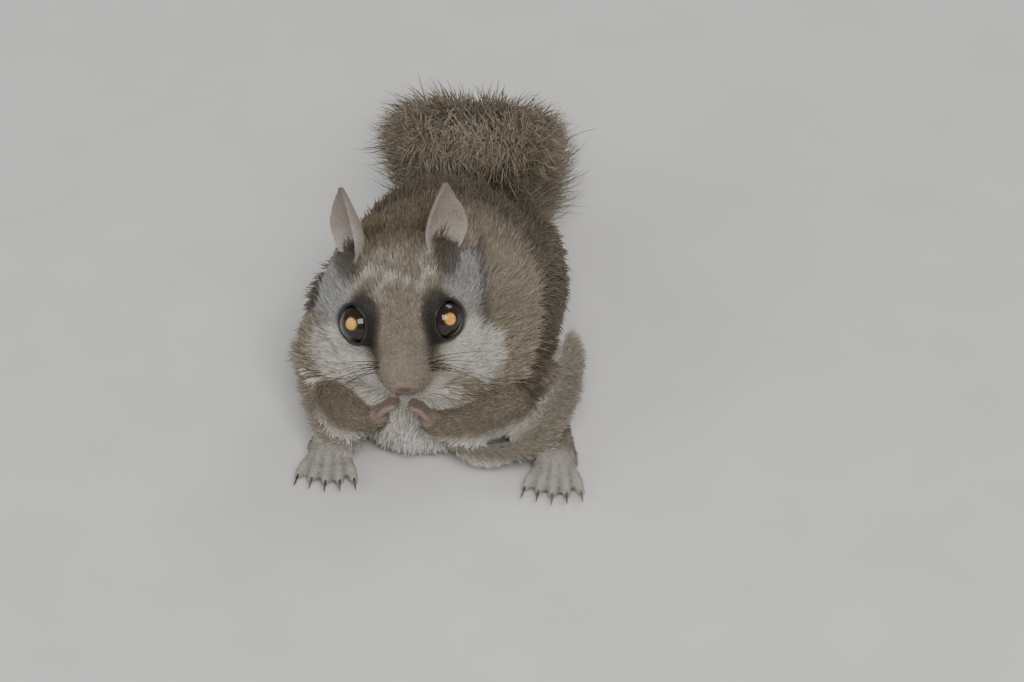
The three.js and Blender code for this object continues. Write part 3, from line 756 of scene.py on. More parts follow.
            # Painted shade: darker gaps between the fingers
            wrist = ARMS[0 if node.endswith("left") else 1].wrist
            place = (p[:, 1] - wrist[1] + 0.7) / 1.6
            between = 1 - ease(0.08, 0.3, np.abs(place - np.round(place)))
            fingers = ease(3, 4.5, p[:, 2] - wrist[2]) * (np.abs(place) < 1.5)
            return self._over(c, self.hand_deep, 0.8 * between * fingers)
        if word == "glide_fold":
            inner = 1 - ease(-2.4, 1.4, (p[:, 2] - 8) - 0.42 * (p[:, 1] - 14))
            return self._over(c, self.white, inner)
        if word == "ear":
            _, back, _ = self.layout.from_nose(p).T
            c = self._over(c, self.white, 0.35 * (1 - ease(36, 42, back)))
            return self._over(c, self.ear_edge, 0.7 * ease(43, 50, back))
        return c


@dataclass
class Piece:
    """A mesh of one finish that rides on the animal."""

    name: str
    vertices: Array
    faces: Iterable[tuple[int, ...]]
    material: bpy.types.Material
    slot: str
    colours: Optional[Array] = None
    smooth: bool = True

    def make(self, replaced: tuple[str, ...] = ()) -> bpy.types.Object:
        """Makes the object, in the frame, hangs it on the body and hides the nodes it stands for.

        Args:
            replaced: nodes it stands for.

        Returns:
            The object.
        """
        mesh = bpy.data.meshes.new(self.name)
        mesh.from_pydata(np.asarray(self.vertices).tolist(), [], [tuple(f) for f in self.faces])
        if self.colours is not None:
            paint(mesh, self.colours)
        return dress(mesh, self, replaced)


def paint(mesh: bpy.types.Mesh, colours: Array) -> None:
    """Gives each vertex of a mesh its colour.

    Args:
        mesh: the mesh.
        colours: one colour for each vertex.
    """
    layer = mesh.color_attributes.new(COLOUR, "FLOAT_COLOR", "POINT")
    full = np.ones((len(colours), 4), dtype=np.float32)
    full[:, :3] = colours
    layer.data.foreach_set("color", full.ravel())


def dress(mesh: bpy.types.Mesh, piece: Piece, replaced: tuple[str, ...] = ()) -> bpy.types.Object:
    """Turns a finished mesh into an object of the scene.

    Args:
        mesh: the mesh.
        piece: name, material and smooth shading.
        replaced: nodes it stands for.

    Returns:
        The object.
    """
    mesh.materials.append(piece.material)
    mesh.polygons.foreach_set("use_smooth", np.full(len(mesh.polygons), piece.smooth))
    mesh.validate()
    mesh.update()
    made = bpy.data.objects.new(piece.name, mesh)
    bpy.context.scene.collection.objects.link(made)
    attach(made, BODY)
    if replaced:
        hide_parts(*replaced)
    log.info("%s: %d faces", piece.name, len(mesh.polygons))
    return made


def banded(rings: int, sides: int, closed: bool = False) -> list[tuple[int, ...]]:
    """Makes the four-sided faces between rings of vertices that follow each other.

    Args:
        rings: number of rings.
        sides: vertices in each ring.
        closed: whether the last ring meets the first.

    Returns:
        The faces.
    """
    faces = []
    for r in range(rings if closed else rings - 1):
        near, far = r * sides, (r + 1) % rings * sides
        for k in range(sides):
            faces.append((near + k, near + (k + 1) % sides, far + (k + 1) % sides, far + k))
    return faces


def tube(
    line: Array, radii: Array, sides: int = 8, flat: Optional[Array] = None, squash: float = 1.0,
) -> Shape:
    """Runs a round or flattened section along a line, closed at both ends.

    Args:
        line: points of the middle line.
        radii: radius at each point.
        sides: number of sides.
        flat: way the flattened section's long side lies.
        squash: thickness of the section against its width.

    Returns:
        The vertices and the faces.
    """
    line = np.asarray(line, dtype=float)
    ways = unit(np.gradient(line, axis=0))
    guide = np.array([0.3, 0.2, 1.0]) if flat is None else np.asarray(flat, dtype=float)
    across = unit(guide - ways * dot(ways, guide)[:, None])
    other = np.cross(ways, across)
    angle = np.arange(sides) * 2 * math.pi / sides
    c, s = np.cos(angle)[:, None], squash * np.sin(angle)[:, None]
    rings = [line[i] + radii[i] * (c * across[i] + s * other[i]) for i in range(len(line))]
    ends = [tuple(reversed(range(sides))), tuple(range((len(line) - 1) * sides, len(line) * sides))]
    return np.vstack(rings), banded(len(line), sides) + ends


def merged(shapes: Iterable[Shape]) -> Shape:
    """Puts several shapes into one list of vertices and one of faces.

    Args:
        shapes: vertices and faces of each shape.

    Returns:
        The vertices and the faces.
    """
    vertices, faces, start = [], [], 0
    for v, f in shapes:
        vertices.append(np.asarray(v))
        faces += [tuple(k + start for k in face) for face in f]
        start += len(v)
    return np.vstack(vertices), faces


def ball(centre: Array, radii: Triple, axes: Array, rows: int = 40, columns: int = 56) -> Shape:
    """Is an oval with its poles on the third axis.

    Args:
        centre: its middle.
        radii: its radii along the axes.
        axes: its three axes, in columns.
        rows: rings from pole to pole.
        columns: points round each ring.

    Returns:
        The vertices and the faces.
    """
    v = []
    for i in range(1, rows):
        polar = math.pi * i / rows
        for k in range(columns):
            turn = 2 * math.pi * k / columns
            wide = math.sin(polar)
            v.append((wide * math.cos(turn), wide * math.sin(turn), math.cos(polar)))
    v += [(0, 0, 1), (0, 0, -1)]
    top, bottom = len(v) - 2, len(v) - 1
    f = [tuple(reversed(face)) for face in banded(rows - 1, columns)]
    f += [(top, k, (k + 1) % columns) for k in range(columns)]
    last = (rows - 2) * columns
    f += [(bottom, last + (k + 1) % columns, last + k) for k in range(columns)]
    return np.array(v) * np.array(radii) @ np.asarray(axes).T + centre, f


def axes_about(way: Array, guide: Triple = (0.0, 0.0, 1.0)) -> Array:
    """Has two directions across a way and the way itself in its columns.

    Args:
        way: the third axis.
        guide: a direction the first axis lies across.

    Returns:
        A matrix with the three axes in its columns.
    """
    way = unit(way)
    across = unit(np.cross(np.array(guide), way))
    return np.stack([across, np.cross(way, across), way], axis=1)


def averaged(values: Array, edges: Array, weight: Array, rounds: int, pull: float = 0.5) -> Array:
    """Moves each vertex's values towards its neighbours', round after round.

    Args:
        values: one row for each vertex.
        edges: pairs of neighbours.
        weight: how far each vertex follows.
        rounds: number of rounds.
        pull: share of the way in each round.

    Returns:
        The evened values.
    """
    n = len(values)
    count = np.maximum(np.bincount(edges.ravel(), minlength=n), 1)[:, None]
    a, b = edges[:, 0], edges[:, 1]
    values = np.array(values, dtype=float)
    for _ in range(rounds):
        total = np.stack([np.bincount(a, values[b, k], n) + np.bincount(b, values[a, k], n)
                          for k in range(values.shape[1])], axis=1)
        values += pull * weight[:, None] * (total / count - values)
    return values


@dataclass(frozen=True)
class FleshRule:
    """How one kind of node is taken into the skin.

    Args:
        evening: how far its facets are evened out, 0 to 1.
        depth: depth of the coat over it.
        swell: growth before the rebuild, which closes the gaps between the nodes.
    """

    evening: float
    depth: float
    swell: float = 0.28


FLESH: dict[str, FleshRule] = {
    "head": FleshRule(0.16, 0.55),
    "neck": FleshRule(1.0, 2.0),
    "breast": FleshRule(1.0, 1.6),
    "torso": FleshRule(1.0, 2.2),
    "rump": FleshRule(1.0, 2.2),
    "haunch": FleshRule(1.0, 1.7),
    "hind_foot": FleshRule(0.02, 0.3, 0.08),
    "forearm": FleshRule(0.2, 0.8),
    "hand": FleshRule(0.02, 0.1, 0.08),
    "glide_fold": FleshRule(0.2, 0.6),
    "ear": FleshRule(0.11, 0.22, 0.46),
    "tail": FleshRule(0.6, 0.0),
}
PAIRED = ("haunch", "hind_foot", "forearm", "hand", "glide_fold", "ear")
TAIL_NODES = ("tail_root", "tail_middle", "tail_end")
FLESH_NODES = ("head", "neck", "breast", "torso", "rump") + tuple(
    f"{word}_{side.word}" for word in PAIRED for side in Side
)


def rule_for(node: str) -> FleshRule:
    """Finds the rule for a node by its name.

    Args:
        node: the node's name.

    Returns:
        Its rule.
    """
    if node.startswith("tail"):
        return FLESH["tail"]
    return FLESH.get(node) or FLESH[node.rsplit("_", 1)[0]]


@dataclass
class Skin:
    """One seamless skin in place of all the flesh nodes.

    Args:
        layout: places on the animal.
        tail: run of the tail.
        markings: colours.
        grain: size of the cells it is rebuilt from.
        rounds: rounds of evening of the shape.
        rule_rounds: rounds in which the nodes' rules run into each other.
        inward_rounds: rounds of evening of the way it is set in.
        colour_rounds: rounds of evening of the colours.
        names: nodes by the number that marks them.
    """

    layout: Layout
    tail: TailPath
    markings: Markings
    grain: float = 0.5
    rounds: int = 110
    rule_rounds: int = 10
    inward_rounds: int = 12
    colour_rounds: int = 6
    names: tuple[str, ...] = FLESH_NODES + ("tail_middle",)
    points: Array = field(init=False)
    normals: Array = field(init=False)
    edges: Array = field(init=False)
    triangles: Array = field(init=False)
    label: Array = field(init=False)
    mesh: bpy.types.Mesh = field(init=False)

    def _node(self, name: str) -> Shape:
        """Reads one node's solid and grows it a little.

        Args:
            name: the node's name.

        Returns:
            The vertices and the faces.
        """
        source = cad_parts[name]
        work = bmesh.new()
        work.from_mesh(source.data)
        work.transform(source.matrix_world)
        bmesh.ops.remove_doubles(work, verts=work.verts, dist=2e-6)
        work.normal_update()
        vertices = np.array([v.co + v.normal * rule_for(name).swell * MM for v in work.verts])
        faces = [tuple(v.index for v in f.verts) for f in work.faces]
        work.free()
        return vertices, faces

    def _tail_core(self) -> Shape:
        """Makes the tail's core under its hair.

        Returns:
            The vertices and the faces.
        """
        count = 60
        t = np.linspace(0, self.tail.end, count)
        line = self.tail.line(201)[np.round(t * 200).astype(int)]
        tip = np.sqrt(np.maximum(1 - (np.maximum(t / self.tail.end - 0.8, 0) / 0.2) ** 2, 0.02))
        width = self.tail.half_width * self.tail.swell(t) * tip
        return tube(self.layout.to_frame(line), width * MM, 18, np.array([1.0, 0, 0]),
                    self.tail.half_depth / self.tail.half_width)

    def _rebuilt(self, vertices: Array, faces: list) -> bpy.types.Mesh:
        """Rebuilds many overlapping solids as one closed surface and keeps its largest part.

        Args:
            vertices: places in metres.
            faces: faces of all the solids.

        Returns:
            The mesh.
        """
        mesh = bpy.data.meshes.new("flesh")
        mesh.from_pydata(vertices.tolist(), [], faces)
        holder = bpy.data.objects.new("flesh", mesh)
        bpy.context.scene.collection.objects.link(holder)
        remesh = holder.modifiers.new("rebuild", "REMESH")
        remesh.mode = "VOXEL"
        remesh.voxel_size = self.grain * MM
        remesh.use_smooth_shade = True
        graph = bpy.context.evaluated_depsgraph_get()
        made = bpy.data.meshes.new_from_object(holder.evaluated_get(graph))
        bpy.data.objects.remove(holder)
        bpy.data.meshes.remove(mesh)
        return self._largest(made)

    @staticmethod
    def _largest(mesh: bpy.types.Mesh) -> bpy.types.Mesh:
        """Drops every loose part of a mesh but the largest.

        Args:
            mesh: the mesh.

        Returns:
            The same mesh with one part left.
        """
        work = bmesh.new()
        work.from_mesh(mesh)
        left = set(work.verts)
        best: list = []
        while left:
            seed = next(iter(left))
            part, stack = [], [seed]
            left.discard(seed)
            while stack:
                v = stack.pop()
                part.append(v)
                for e in v.link_edges:
                    o = e.other_vert(v)
                    if o in left:
                        left.discard(o)
                        stack.append(o)
            best = part if len(part) > len(best) else best
        keep = set(best)
        bmesh.ops.delete(work, geom=[v for v in work.verts if v not in keep], context="VERTS")
        work.to_mesh(mesh)
        work.free()
        return mesh

    def build(self) -> bpy.types.Object:
        """Builds, evens, sets in and paints the skin.

        Returns:
            The object.
        """
        shapes = [self._node(name) for name in FLESH_NODES] + [self._tail_core()]
        vertices, faces = merged(shapes)
        owner = [i for i, (_, f) in enumerate(shapes) for _ in f]
        tree = BVHTree.FromPolygons(vertices.tolist(), faces)
        mesh = self._rebuilt(vertices, faces)
        n = len(mesh.vertices)
        points = np.empty(n * 3)
        mesh.vertices.foreach_get("co", points)
        points = points.reshape(-1, 3)
        edges = np.empty(len(mesh.edges) * 2, dtype=np.int64)
        mesh.edges.foreach_get("vertices", edges)
        self.edges = edges.reshape(-1, 2)
        self.label = np.array([owner[tree.find_nearest(Vector(p))[2]] for p in points])
        rules = [rule_for(name) for name in self.names]
        weight = np.array([r.evening for r in rules])[self.label]
        depth = np.array([r.depth for r in rules])[self.label]
        ones = np.ones(n)
        fields = averaged(np.stack([weight, depth], axis=1), self.edges, ones, self.rule_rounds)
        points = averaged(points, self.edges, np.minimum(fields[:, 0], weight + 0.1), self.rounds)
        mesh.vertices.foreach_set("co", points.ravel())
        mesh.update()
        normals = self._normals(mesh)
        inward = unit(averaged(normals, self.edges, fields[:, 0], self.inward_rounds))
        points = points - inward * self._face_depth(points, fields[:, 1])[:, None] * MM
        mesh.vertices.foreach_set("co", points.ravel())
        mesh.update()
        self.points, self.normals, self.mesh = points, self._normals(mesh), mesh
        self.triangles = self._triangles(mesh)
        mesh.name = "skin"
        paint(mesh, self.painted())
        piece = Piece("skin", points, [], SkinFinish("underfur").make(), "back_fur")
        return dress(mesh, piece, FLESH_NODES + TAIL_NODES)

    def _face_depth(self, points: Array, depth: Array) -> Array:
        """Thins the coat's depth towards the nose and the eyes.

        Args:
            points: the skin's vertices, in metres.
            depth: depth of the coat over each.

        Returns:
            The depth over each vertex.
        """
        p = self.layout.from_frame(points)
        nose = np.linalg.norm(p - np.array(self.layout.nose), axis=1)
        return depth * ease(4.5, 8, self.layout.from_eyes(p)) * ease(2, 12, nose)

    @staticmethod
    def _normals(mesh: bpy.types.Mesh) -> Array:
        """Reads the vertices' normals.

        Args:
            mesh: the mesh.

        Returns:
            One direction for each vertex.
        """
        out = np.empty(len(mesh.vertices) * 3, dtype=np.float32)
        mesh.vertex_normals.foreach_get("vector", out)
        return out.reshape(-1, 3).astype(float)

    @staticmethod
    def _triangles(mesh: bpy.types.Mesh) -> Array:
        """Reads the mesh as triangles.

        Args:
            mesh: the mesh.

        Returns:
            Three vertices for each triangle.
        """
        mesh.calc_loop_triangles()
        out = np.empty(len(mesh.loop_triangles) * 3, dtype=np.int32)
        mesh.loop_triangles.foreach_get("vertices", out)
        return out.reshape(-1, 3)

    def painted(self) -> Array:
        """Is the skin's colour at each vertex, evened a little where parts meet.

        Returns:
            One colour for each vertex.
        """
        p = self.layout.from_frame(self.points)
        colour = np.zeros((len(p), 3))
        for k, name in enumerate(self.names):
            here = self.label == k
            if here.any():
                colour[here] = self.markings.at(p[here], name)
        return averaged(colour, self.edges, np.ones(len(p)), self.colour_rounds)


@dataclass(frozen=True)
class Arm:
    """A forearm's run from elbow to wrist."""

    side: Side
    elbow: Triple
    wrist: Triple


# No tuft of the ruff or the breast grows nearer than this to a forearm's middle
ARM_REACH = 6.2
ARMS = (
    Arm(Side.LEFT, (16, 24, 12.5), (-1.2, 12.9, 13.6)),
    Arm(Side.RIGHT, (-27.5, 24, 12.5), (-18.2, 12.9, 13.8)),
)


@dataclass
class Lie:
    """The way the hair lies at each vertex of the skin.

    Args:
        layout: places on the animal.
        tail: run of the tail.
        skin: the skin it lies on.
        splay: lean of the hair at the tail's sides, in degrees.
        stray: how far the hair strays from its way.
        stray_waves: waves of the straying in a millimetre.
        seed: start of the straying's random noise.
    """

    layout: Layout
    tail: TailPath
    skin: Skin
    splay: float = 52.0
    stray: float = 0.45
    stray_waves: float = 0.16
    seed: int = 7

    def _wanted(self, p: Array, node: str) -> Array:
        """Is the rough way the hair points on one node.

        Args:
            p: places in the layout.
            node: the node they are on.

        Returns:
            One direction for each place.
        """
        word, s = node.rsplit("_", 1)[0], 1.0 if node.endswith("left") else -1.0
        if node in ("head", "neck"):
            return p - self.layout.on_head((0, -4, -2))
        if node in ("torso", "rump"):
            return (p - np.array([-4.0, 8.0, 34.0])) * np.array([0.7, 1.3, 1.0])
        if node == "breast":
            return np.tile([0.0, 0.15, -1.0], (len(p), 1))
        if node.startswith("tail"):
            return self._tail_way(p)
        if word == "haunch":
            return np.tile([s * 0.3, 0.5, -0.8], (len(p), 1))
        if word == "forearm":
            arm = ARMS[0] if s > 0 else ARMS[1]
            return np.tile(np.array(arm.wrist) - np.array(arm.elbow), (len(p), 1))
        if word == "hand":
            return np.tile([-s, 0.0, 1.0], (len(p), 1))
        if word == "ear":
            return np.tile(self.layout.head_way((s * 0.1, 0.74, 0.62)), (len(p), 1))
        if word == "glide_fold":
            return np.tile([s * 0.7, 0.3, -0.4], (len(p), 1))
        return np.tile([0.0, -1.0, -0.15], (len(p), 1))

    def along(self, p: Array) -> tuple[Array, Array]:
        """Finds the place and the direction on the tail's line next to each point.

        Args:
            p: places in the layout.

        Returns:
            The share of the way along the line, and the line's direction there.
        """
        line = self.tail.line(201)
        ways = unit(np.gradient(line, axis=0))
        tree = KDTree(len(line))
        for i, q in enumerate(line):
            tree.insert(Vector(q), i)
        tree.balance()
        near = np.array([tree.find(Vector(q))[1] for q in p])
        return near / 200, ways[near]

    def _tail_way(self, p: Array) -> Array:
        """Is the way of the tail's hair: along it, and outwards at its sides.

        Args:
            p: places in the layout.

        Returns:
            One direction for each place.
        """
        t, way = self.along(p)
        side = (p[:, 0] - TAIL_MIDDLE) / (self.tail.half_width * self.tail.swell(t))
        lean = np.radians(self.splay) * np.sign(side) * np.minimum(np.abs(side), 1) ** 1.3
        return way * np.cos(lean)[:, None] + np.array([1.0, 0, 0]) * np.sin(lean)[:, None]

    def build(self) -> Array:
        """Is the unit direction at each vertex, in the skin's surface.

        Returns:
            One direction for each vertex of the skin.
        """
        p = self.layout.from_frame(self.skin.points)
        ways = np.zeros_like(p)
        for k, name in enumerate(self.skin.names):
            here = self.skin.label == k
            if here.any():
                ways[here] = unit(self._wanted(p[here], name))
        n = self.skin.normals
        ones = np.ones(len(p))
        for _ in range(4):
            ways = ways - n * dot(ways, n)[:, None]
            ways = averaged(unit(ways), self.skin.edges, ones, 5)
        noise.seed_set(self.seed)
        strays = np.array([noise.noise_vector(Vector(q * self.stray_waves)) for q in p])
        ways = unit(ways) + self.stray * strays
        return unit(ways - n * dot(ways, n)[:, None])


@dataclass(frozen=True)
class Tufts:
    """One stretch of the coat.

    Args:
        name: its name.
        nodes: nodes it grows on.
        slot: its material slot.
        count: number of tufts.
        length: length of a tuft.
        width: half a tuft's width at its root.
        rise: how steeply it leaves the skin.
        lift: height of its tip over the skin, as a share of its length.
        gather: how far neighbouring tips come together.
        rings: sections of a tuft below its tip.
        tone: lightness at root, middle and tip.
    """

    name: str
    nodes: tuple[str, ...]
    slot: str
    count: int
    length: float
    width: float
    rise: float = 0.5
    lift: float = 0.2
    gather: float = 0.35
    rings: int = 2
    tone: Triple = (0.55, 0.95, 1.15)


def both_sides(word: str) -> tuple[str, ...]:
    """Names a paired node's left and right."""
    return tuple(f"{word}_{side.word}" for side in Side)


COAT = (
    Tufts("face_coat", ("head",), "face_fur", 30000, 2.9, 0.11, rise=0.35, lift=0.12, gather=0.2),
    Tufts("ruff_coat", ("neck",), "ruff_fur", 28000, 5.2, 0.16, rise=0.4, lift=0.16, gather=0.28),
    Tufts("breast_coat", ("breast",), "belly_fur", 6000, 4.2, 0.17, rise=0.4, lift=0.16, gather=0.3),
    Tufts("back_coat", ("torso",), "back_fur", 17000, 5.2, 0.18, rise=0.4, lift=0.16, gather=0.3),
    Tufts("rump_coat", ("rump",), "back_fur", 7000, 5.4, 0.19, rise=0.4, lift=0.16, gather=0.3),
    Tufts("haunch_coat", both_sides("haunch"), "leg_fur", 12000, 4.4, 0.17, rise=0.4,
          lift=0.15, gather=0.3),
    Tufts("arm_coat", both_sides("forearm"), "leg_fur", 8000, 2.4, 0.12, lift=0.15, gather=0.2),
    Tufts("fold_coat", both_sides("glide_fold"), "fold_fur", 11000, 2.6, 0.12, lift=0.15, gather=0.25),
    Tufts("foot_coat", both_sides("hind_foot"), "foot_fur", 8500, 1.4, 0.09, 0.3, 0.1, 0.15),
    Tufts("hand_coat", both_sides("hand"), "hand_skin", 2600, 0.7, 0.05, 0.2, 0.08, 0.1),
    Tufts("ear_coat", both_sides("ear"), "ear_skin", 4000, 0.8, 0.06, 0.25, 0.08, 0.1),
    Tufts("tail_coat", ("tail_middle",), "tail_fur", 32000, 16.0, 0.16, rise=0.5, lift=0.2, gather=0.18,
          tone=(0.76, 0.98, 1.08)),
)


@dataclass
class Coat:
    """The animal's fur: fine flat tufts that lie over the skin along its lie.

    Args:
        layout: places on the animal.
        tail: run of the tail.
        markings: colours.
        skin: the skin it grows on.
        lie: the lie and its helper for the tail.
        most: most triangles in a piece.
        patch: size of a tuft's patch in the bake map.
        seed: start of the random draws.
        bunch: tufts whose tips come together.
        hug: how close the bunch stays to its middle tuft.
    """

    layout: Layout
    tail: TailPath
    markings: Markings
    skin: Skin
    lie: Lie
    most: int = 185000
    patch: float = 0.003
    seed: int = 11
    draft: float = 0.35
    bunch: int = 12
    hug: float = 0.55
    ways: Array = field(init=False)

    def _length(self, tufts: Tufts, p: Array, draws: Array) -> Array:
        """Is each tuft's length, from its place and a random draw.

        Args:
            tufts: the stretch of coat.
            p: places in the layout.
            draws: one random number for each.

        Returns:
            The lengths in millimetres.
        """
        length = tufts.length * (0.72 + 0.5 * draws)
        if tufts.name == "face_coat":
            side, back, _ = self.layout.from_nose(p).T
            length *= 0.3 + 0.75 * ease(3, 26, back) + 0.35 * ease(12, 19, np.abs(side))
            length *= 0.28 + 0.72 * ease(5.5, 10, self.layout.from_eyes(p))
        if tufts.name == "foot_coat":
            length *= 0.5 + 0.5 * ease(6, 16, p[:, 1])
        if tufts.name == "tail_coat":
            t, _ = self.lie.along(p)
            side = np.minimum(np.abs(p[:, 0] - TAIL_MIDDLE) / self.tail.half_width, 1)
            length *= (0.78 + 0.5 * side) * np.minimum(1, 0.55 + 2.5 * t)
        return length

    def _bare(self, tufts: Tufts, p: Array) -> Array:
        """Marks places that carry no tuft: the eyes, the nose and what the forearms lie against.

        Args:
            tufts: the stretch of coat.
            p: places in the layout.

        Returns:
            Whether each place stays bare.
        """
        if tufts.name in ("ruff_coat", "breast_coat"):
            run = np.vstack([np.linspace(arm.elbow, arm.wrist, 12) for arm in ARMS])
            return np.linalg.norm(p[:, None, :] - run[None], axis=2).min(axis=1) < ARM_REACH
        if tufts.name != "face_coat":
            return np.zeros(len(p), dtype=bool)
        side, back, up = self.layout.from_nose(p).T
        nose = np.linalg.norm(np.stack([side, back + 0.4, up - 0.2]), axis=0) < 2.7
        return (self.layout.from_eyes(p) < self.layout.eye_radius + 0.75) | nose

    def _roots(self, tufts: Tufts, draws: np.random.Generator) -> Roots:
        """Spreads the tufts' roots evenly over their part of the skin.

        Args:
            tufts: the stretch of coat.
            draws: the random draws.

        Returns:
            Place, normal, way of the hair and label of each root.
        """
        wanted = [self.skin.names.index(n) for n in tufts.nodes]
        tri = self.skin.triangles[np.isin(self.skin.label[self.skin.triangles[:, 0]], wanted)]
        a, b, c = (self.skin.points[tri[:, k]] for k in range(3))
        area = np.linalg.norm(np.cross(b - a, c - a), axis=1)
        count = int(tufts.count * (1.0))
        pick = draws.choice(len(tri), count, p=area / area.sum())
        u, v = np.sqrt(draws.random(count)), draws.random(count)
        share = np.stack([1 - u, u * (1 - v), u * v], axis=1)
        corners = tri[pick]

        def spread(values: Array) -> Array:
            """Carries the vertices' values over to the roots."""
            return np.einsum("nk,nkd->nd", share, values[corners])

        p = spread(self.skin.points)
        keep = ~self._bare(tufts, self.layout.from_frame(p))
        label = self.skin.label[corners[:, 0]][keep]
        return {"p": p[keep], "n": unit(spread(self.skin.normals))[keep],
                "d": unit(spread(self.ways))[keep], "label": label}

    def _gathered(self, tips: Array, roots: Array, share: float, draws: np.random.Generator) -> Array:
        """Draws the tips of neighbouring tufts together.

        Args:
            tips: the tufts' tips.
            roots: their roots.
            share: how far the tips come together.
            draws: the random draws.

        Returns:
            The new tips.
        """
        centres = draws.choice(len(roots), max(len(roots) // self.bunch, 1), replace=False)
        tree = KDTree(len(centres))
        for i, k in enumerate(centres):
            tree.insert(Vector(roots[k]), i)
        tree.balance()
        near = centres[np.array([tree.find(Vector(q))[1] for q in roots])]
        middle = roots * (1 - self.hug) + roots[near] * self.hug
        return tips + (tips[near] - roots[near] + middle - tips) * share

    def _along_tail(self, roots: Array, ends: Array) -> Array:
        """Bends hairs that point along the tail so that they follow its line.

        Args:
            roots: the hairs' roots, in metres.
            ends: points further along them.

        Returns:
            The bent points, in metres.
        """
        root, end = self.layout.from_frame(roots), self.layout.from_frame(ends)
        t, way = self.lie.along(root)
        outward = unit(np.cross(way, np.array([1.0, 0, 0])))
        step = end - root
        at = self.tail.beside(t, np.zeros(len(t)), np.zeros(len(t)))
        side = root[:, 0] - at[:, 0] + step[:, 0]
        out = dot(root - at, outward) + dot(step, outward)
        bent = self.tail.beside(t + dot(step, way) / self.tail.length(), side, out)
        return self.layout.to_frame(bent)

    def _map(self, roots: Roots) -> Array:
        """Unwraps the roots: one cell of a three by two sheet for each way the skin faces.

        Args:
            roots: the roots.

        Returns:
            One place on the sheet for each root.
        """
        n, p = roots["n"], roots["p"]
        axis = np.argmax(np.abs(n), axis=1)
        cell = axis * 2 + (n[np.arange(len(n)), axis] > 0)
        low, size = p.min(axis=0), np.ptp(p, axis=0).max()
        other = np.array([[1, 2], [0, 2], [0, 1]])[axis]
        flat = 0.01 + 0.98 * np.take_along_axis(p - low, other, axis=1) / size
        return np.stack([(cell % 3 + flat[:, 0]) / 3, (cell // 3 + flat[:, 1]) / 2], axis=1)

    def _shape(
        self, tufts: Tufts, roots: Roots, draws: np.random.Generator,
    ) -> tuple[Array, Array]:
        """Shapes every tuft as a bent, tapered blade with three sides.

        Args:
            tufts: the stretch of coat.
            roots: places, normals and ways of the roots.
            draws: the random draws.

        Returns:
            The vertices of each tuft, and how far along the tuft each one is.
        """
        p, n, d = roots["p"], roots["n"], roots["d"]
        count = len(p)
        length = self._length(tufts, self.layout.from_frame(p), draws.random(count))[:, None] * MM
        d = unit(d + 0.22 * draws.normal(size=(count, 3)))
        rise = tufts.rise * (0.8 + 0.4 * draws.random((count, 1)))
        start = p - n * 0.25 * MM
        middle = p + length * (0.42 * d + 0.5 * rise * n)
        tip = p + length * (d + tufts.lift * (0.5 + draws.random((count, 1))) * n)
        if tufts.name == "tail_coat":
            middle, tip = self._along_tail(p, middle), self._along_tail(p, tip)
        tip = self._gathered(tip, p, tufts.gather, draws)
        for end in (middle, tip):
            end[:, 2] = np.maximum(end[:, 2], LOWEST_HAIR * MM)
        side = unit(np.cross(d, n) + 0.5 * n * draws.normal(size=(count, 1)))
        width = tufts.width * MM * (0.75 + 0.5 * draws.random((count, 1)))
        blade, along = [], []
        for i in range(tufts.rings):
            t = 0.72 * i / max(tufts.rings - 1, 1) + 0.02
            at = (1 - t) ** 2 * start + 2 * t * (1 - t) * middle + t * t * tip
            wide = width * (1 - 0.45 * t)
            up = unit(np.cross(side, 2 * (1 - t) * (middle - start) + 2 * t * (tip - middle)))
            blade += [at - side * wide, at + side * wide, at + up * wide * 0.6]
            along += [t] * 3
        blade.append(tip)
        along.append(1.0)
        return np.stack(blade, axis=1), np.array(along)

    def _colours(
        self, tufts: Tufts, roots: Roots, along: Array, draws: np.random.Generator,
    ) -> Array:
        """Paints the tufts with the markings at their roots, darker in the depth of the coat.

        Args:
            tufts: the stretch of coat.
            roots: the roots.
            along: how far along the tuft each vertex is.
            draws: the random draws.

        Returns:
            One colour for each vertex of each tuft.
        """
        p = self.layout.from_frame(roots["p"] + roots["d"] * tufts.length * 0.4 * MM)
        colour = np.zeros((len(p), 3))
        for name in tufts.nodes:
            here = roots["label"] == self.skin.names.index(name)
            if here.any():
                colour[here] = self.markings.at(p[here], name)
        tone = np.interp(along, [0, 0.5, 1], tufts.tone)
        own = np.exp(0.16 * draws.normal(size=(len(p), 1, 1)))
        warm = 1 + 0.04 * draws.normal(size=(len(p), 1, 1)) * np.array([1.0, 0.1, -1.0])
        return np.clip(colour[:, None, :] * tone[None, :, None] * own * warm, 0.004, 0.85)

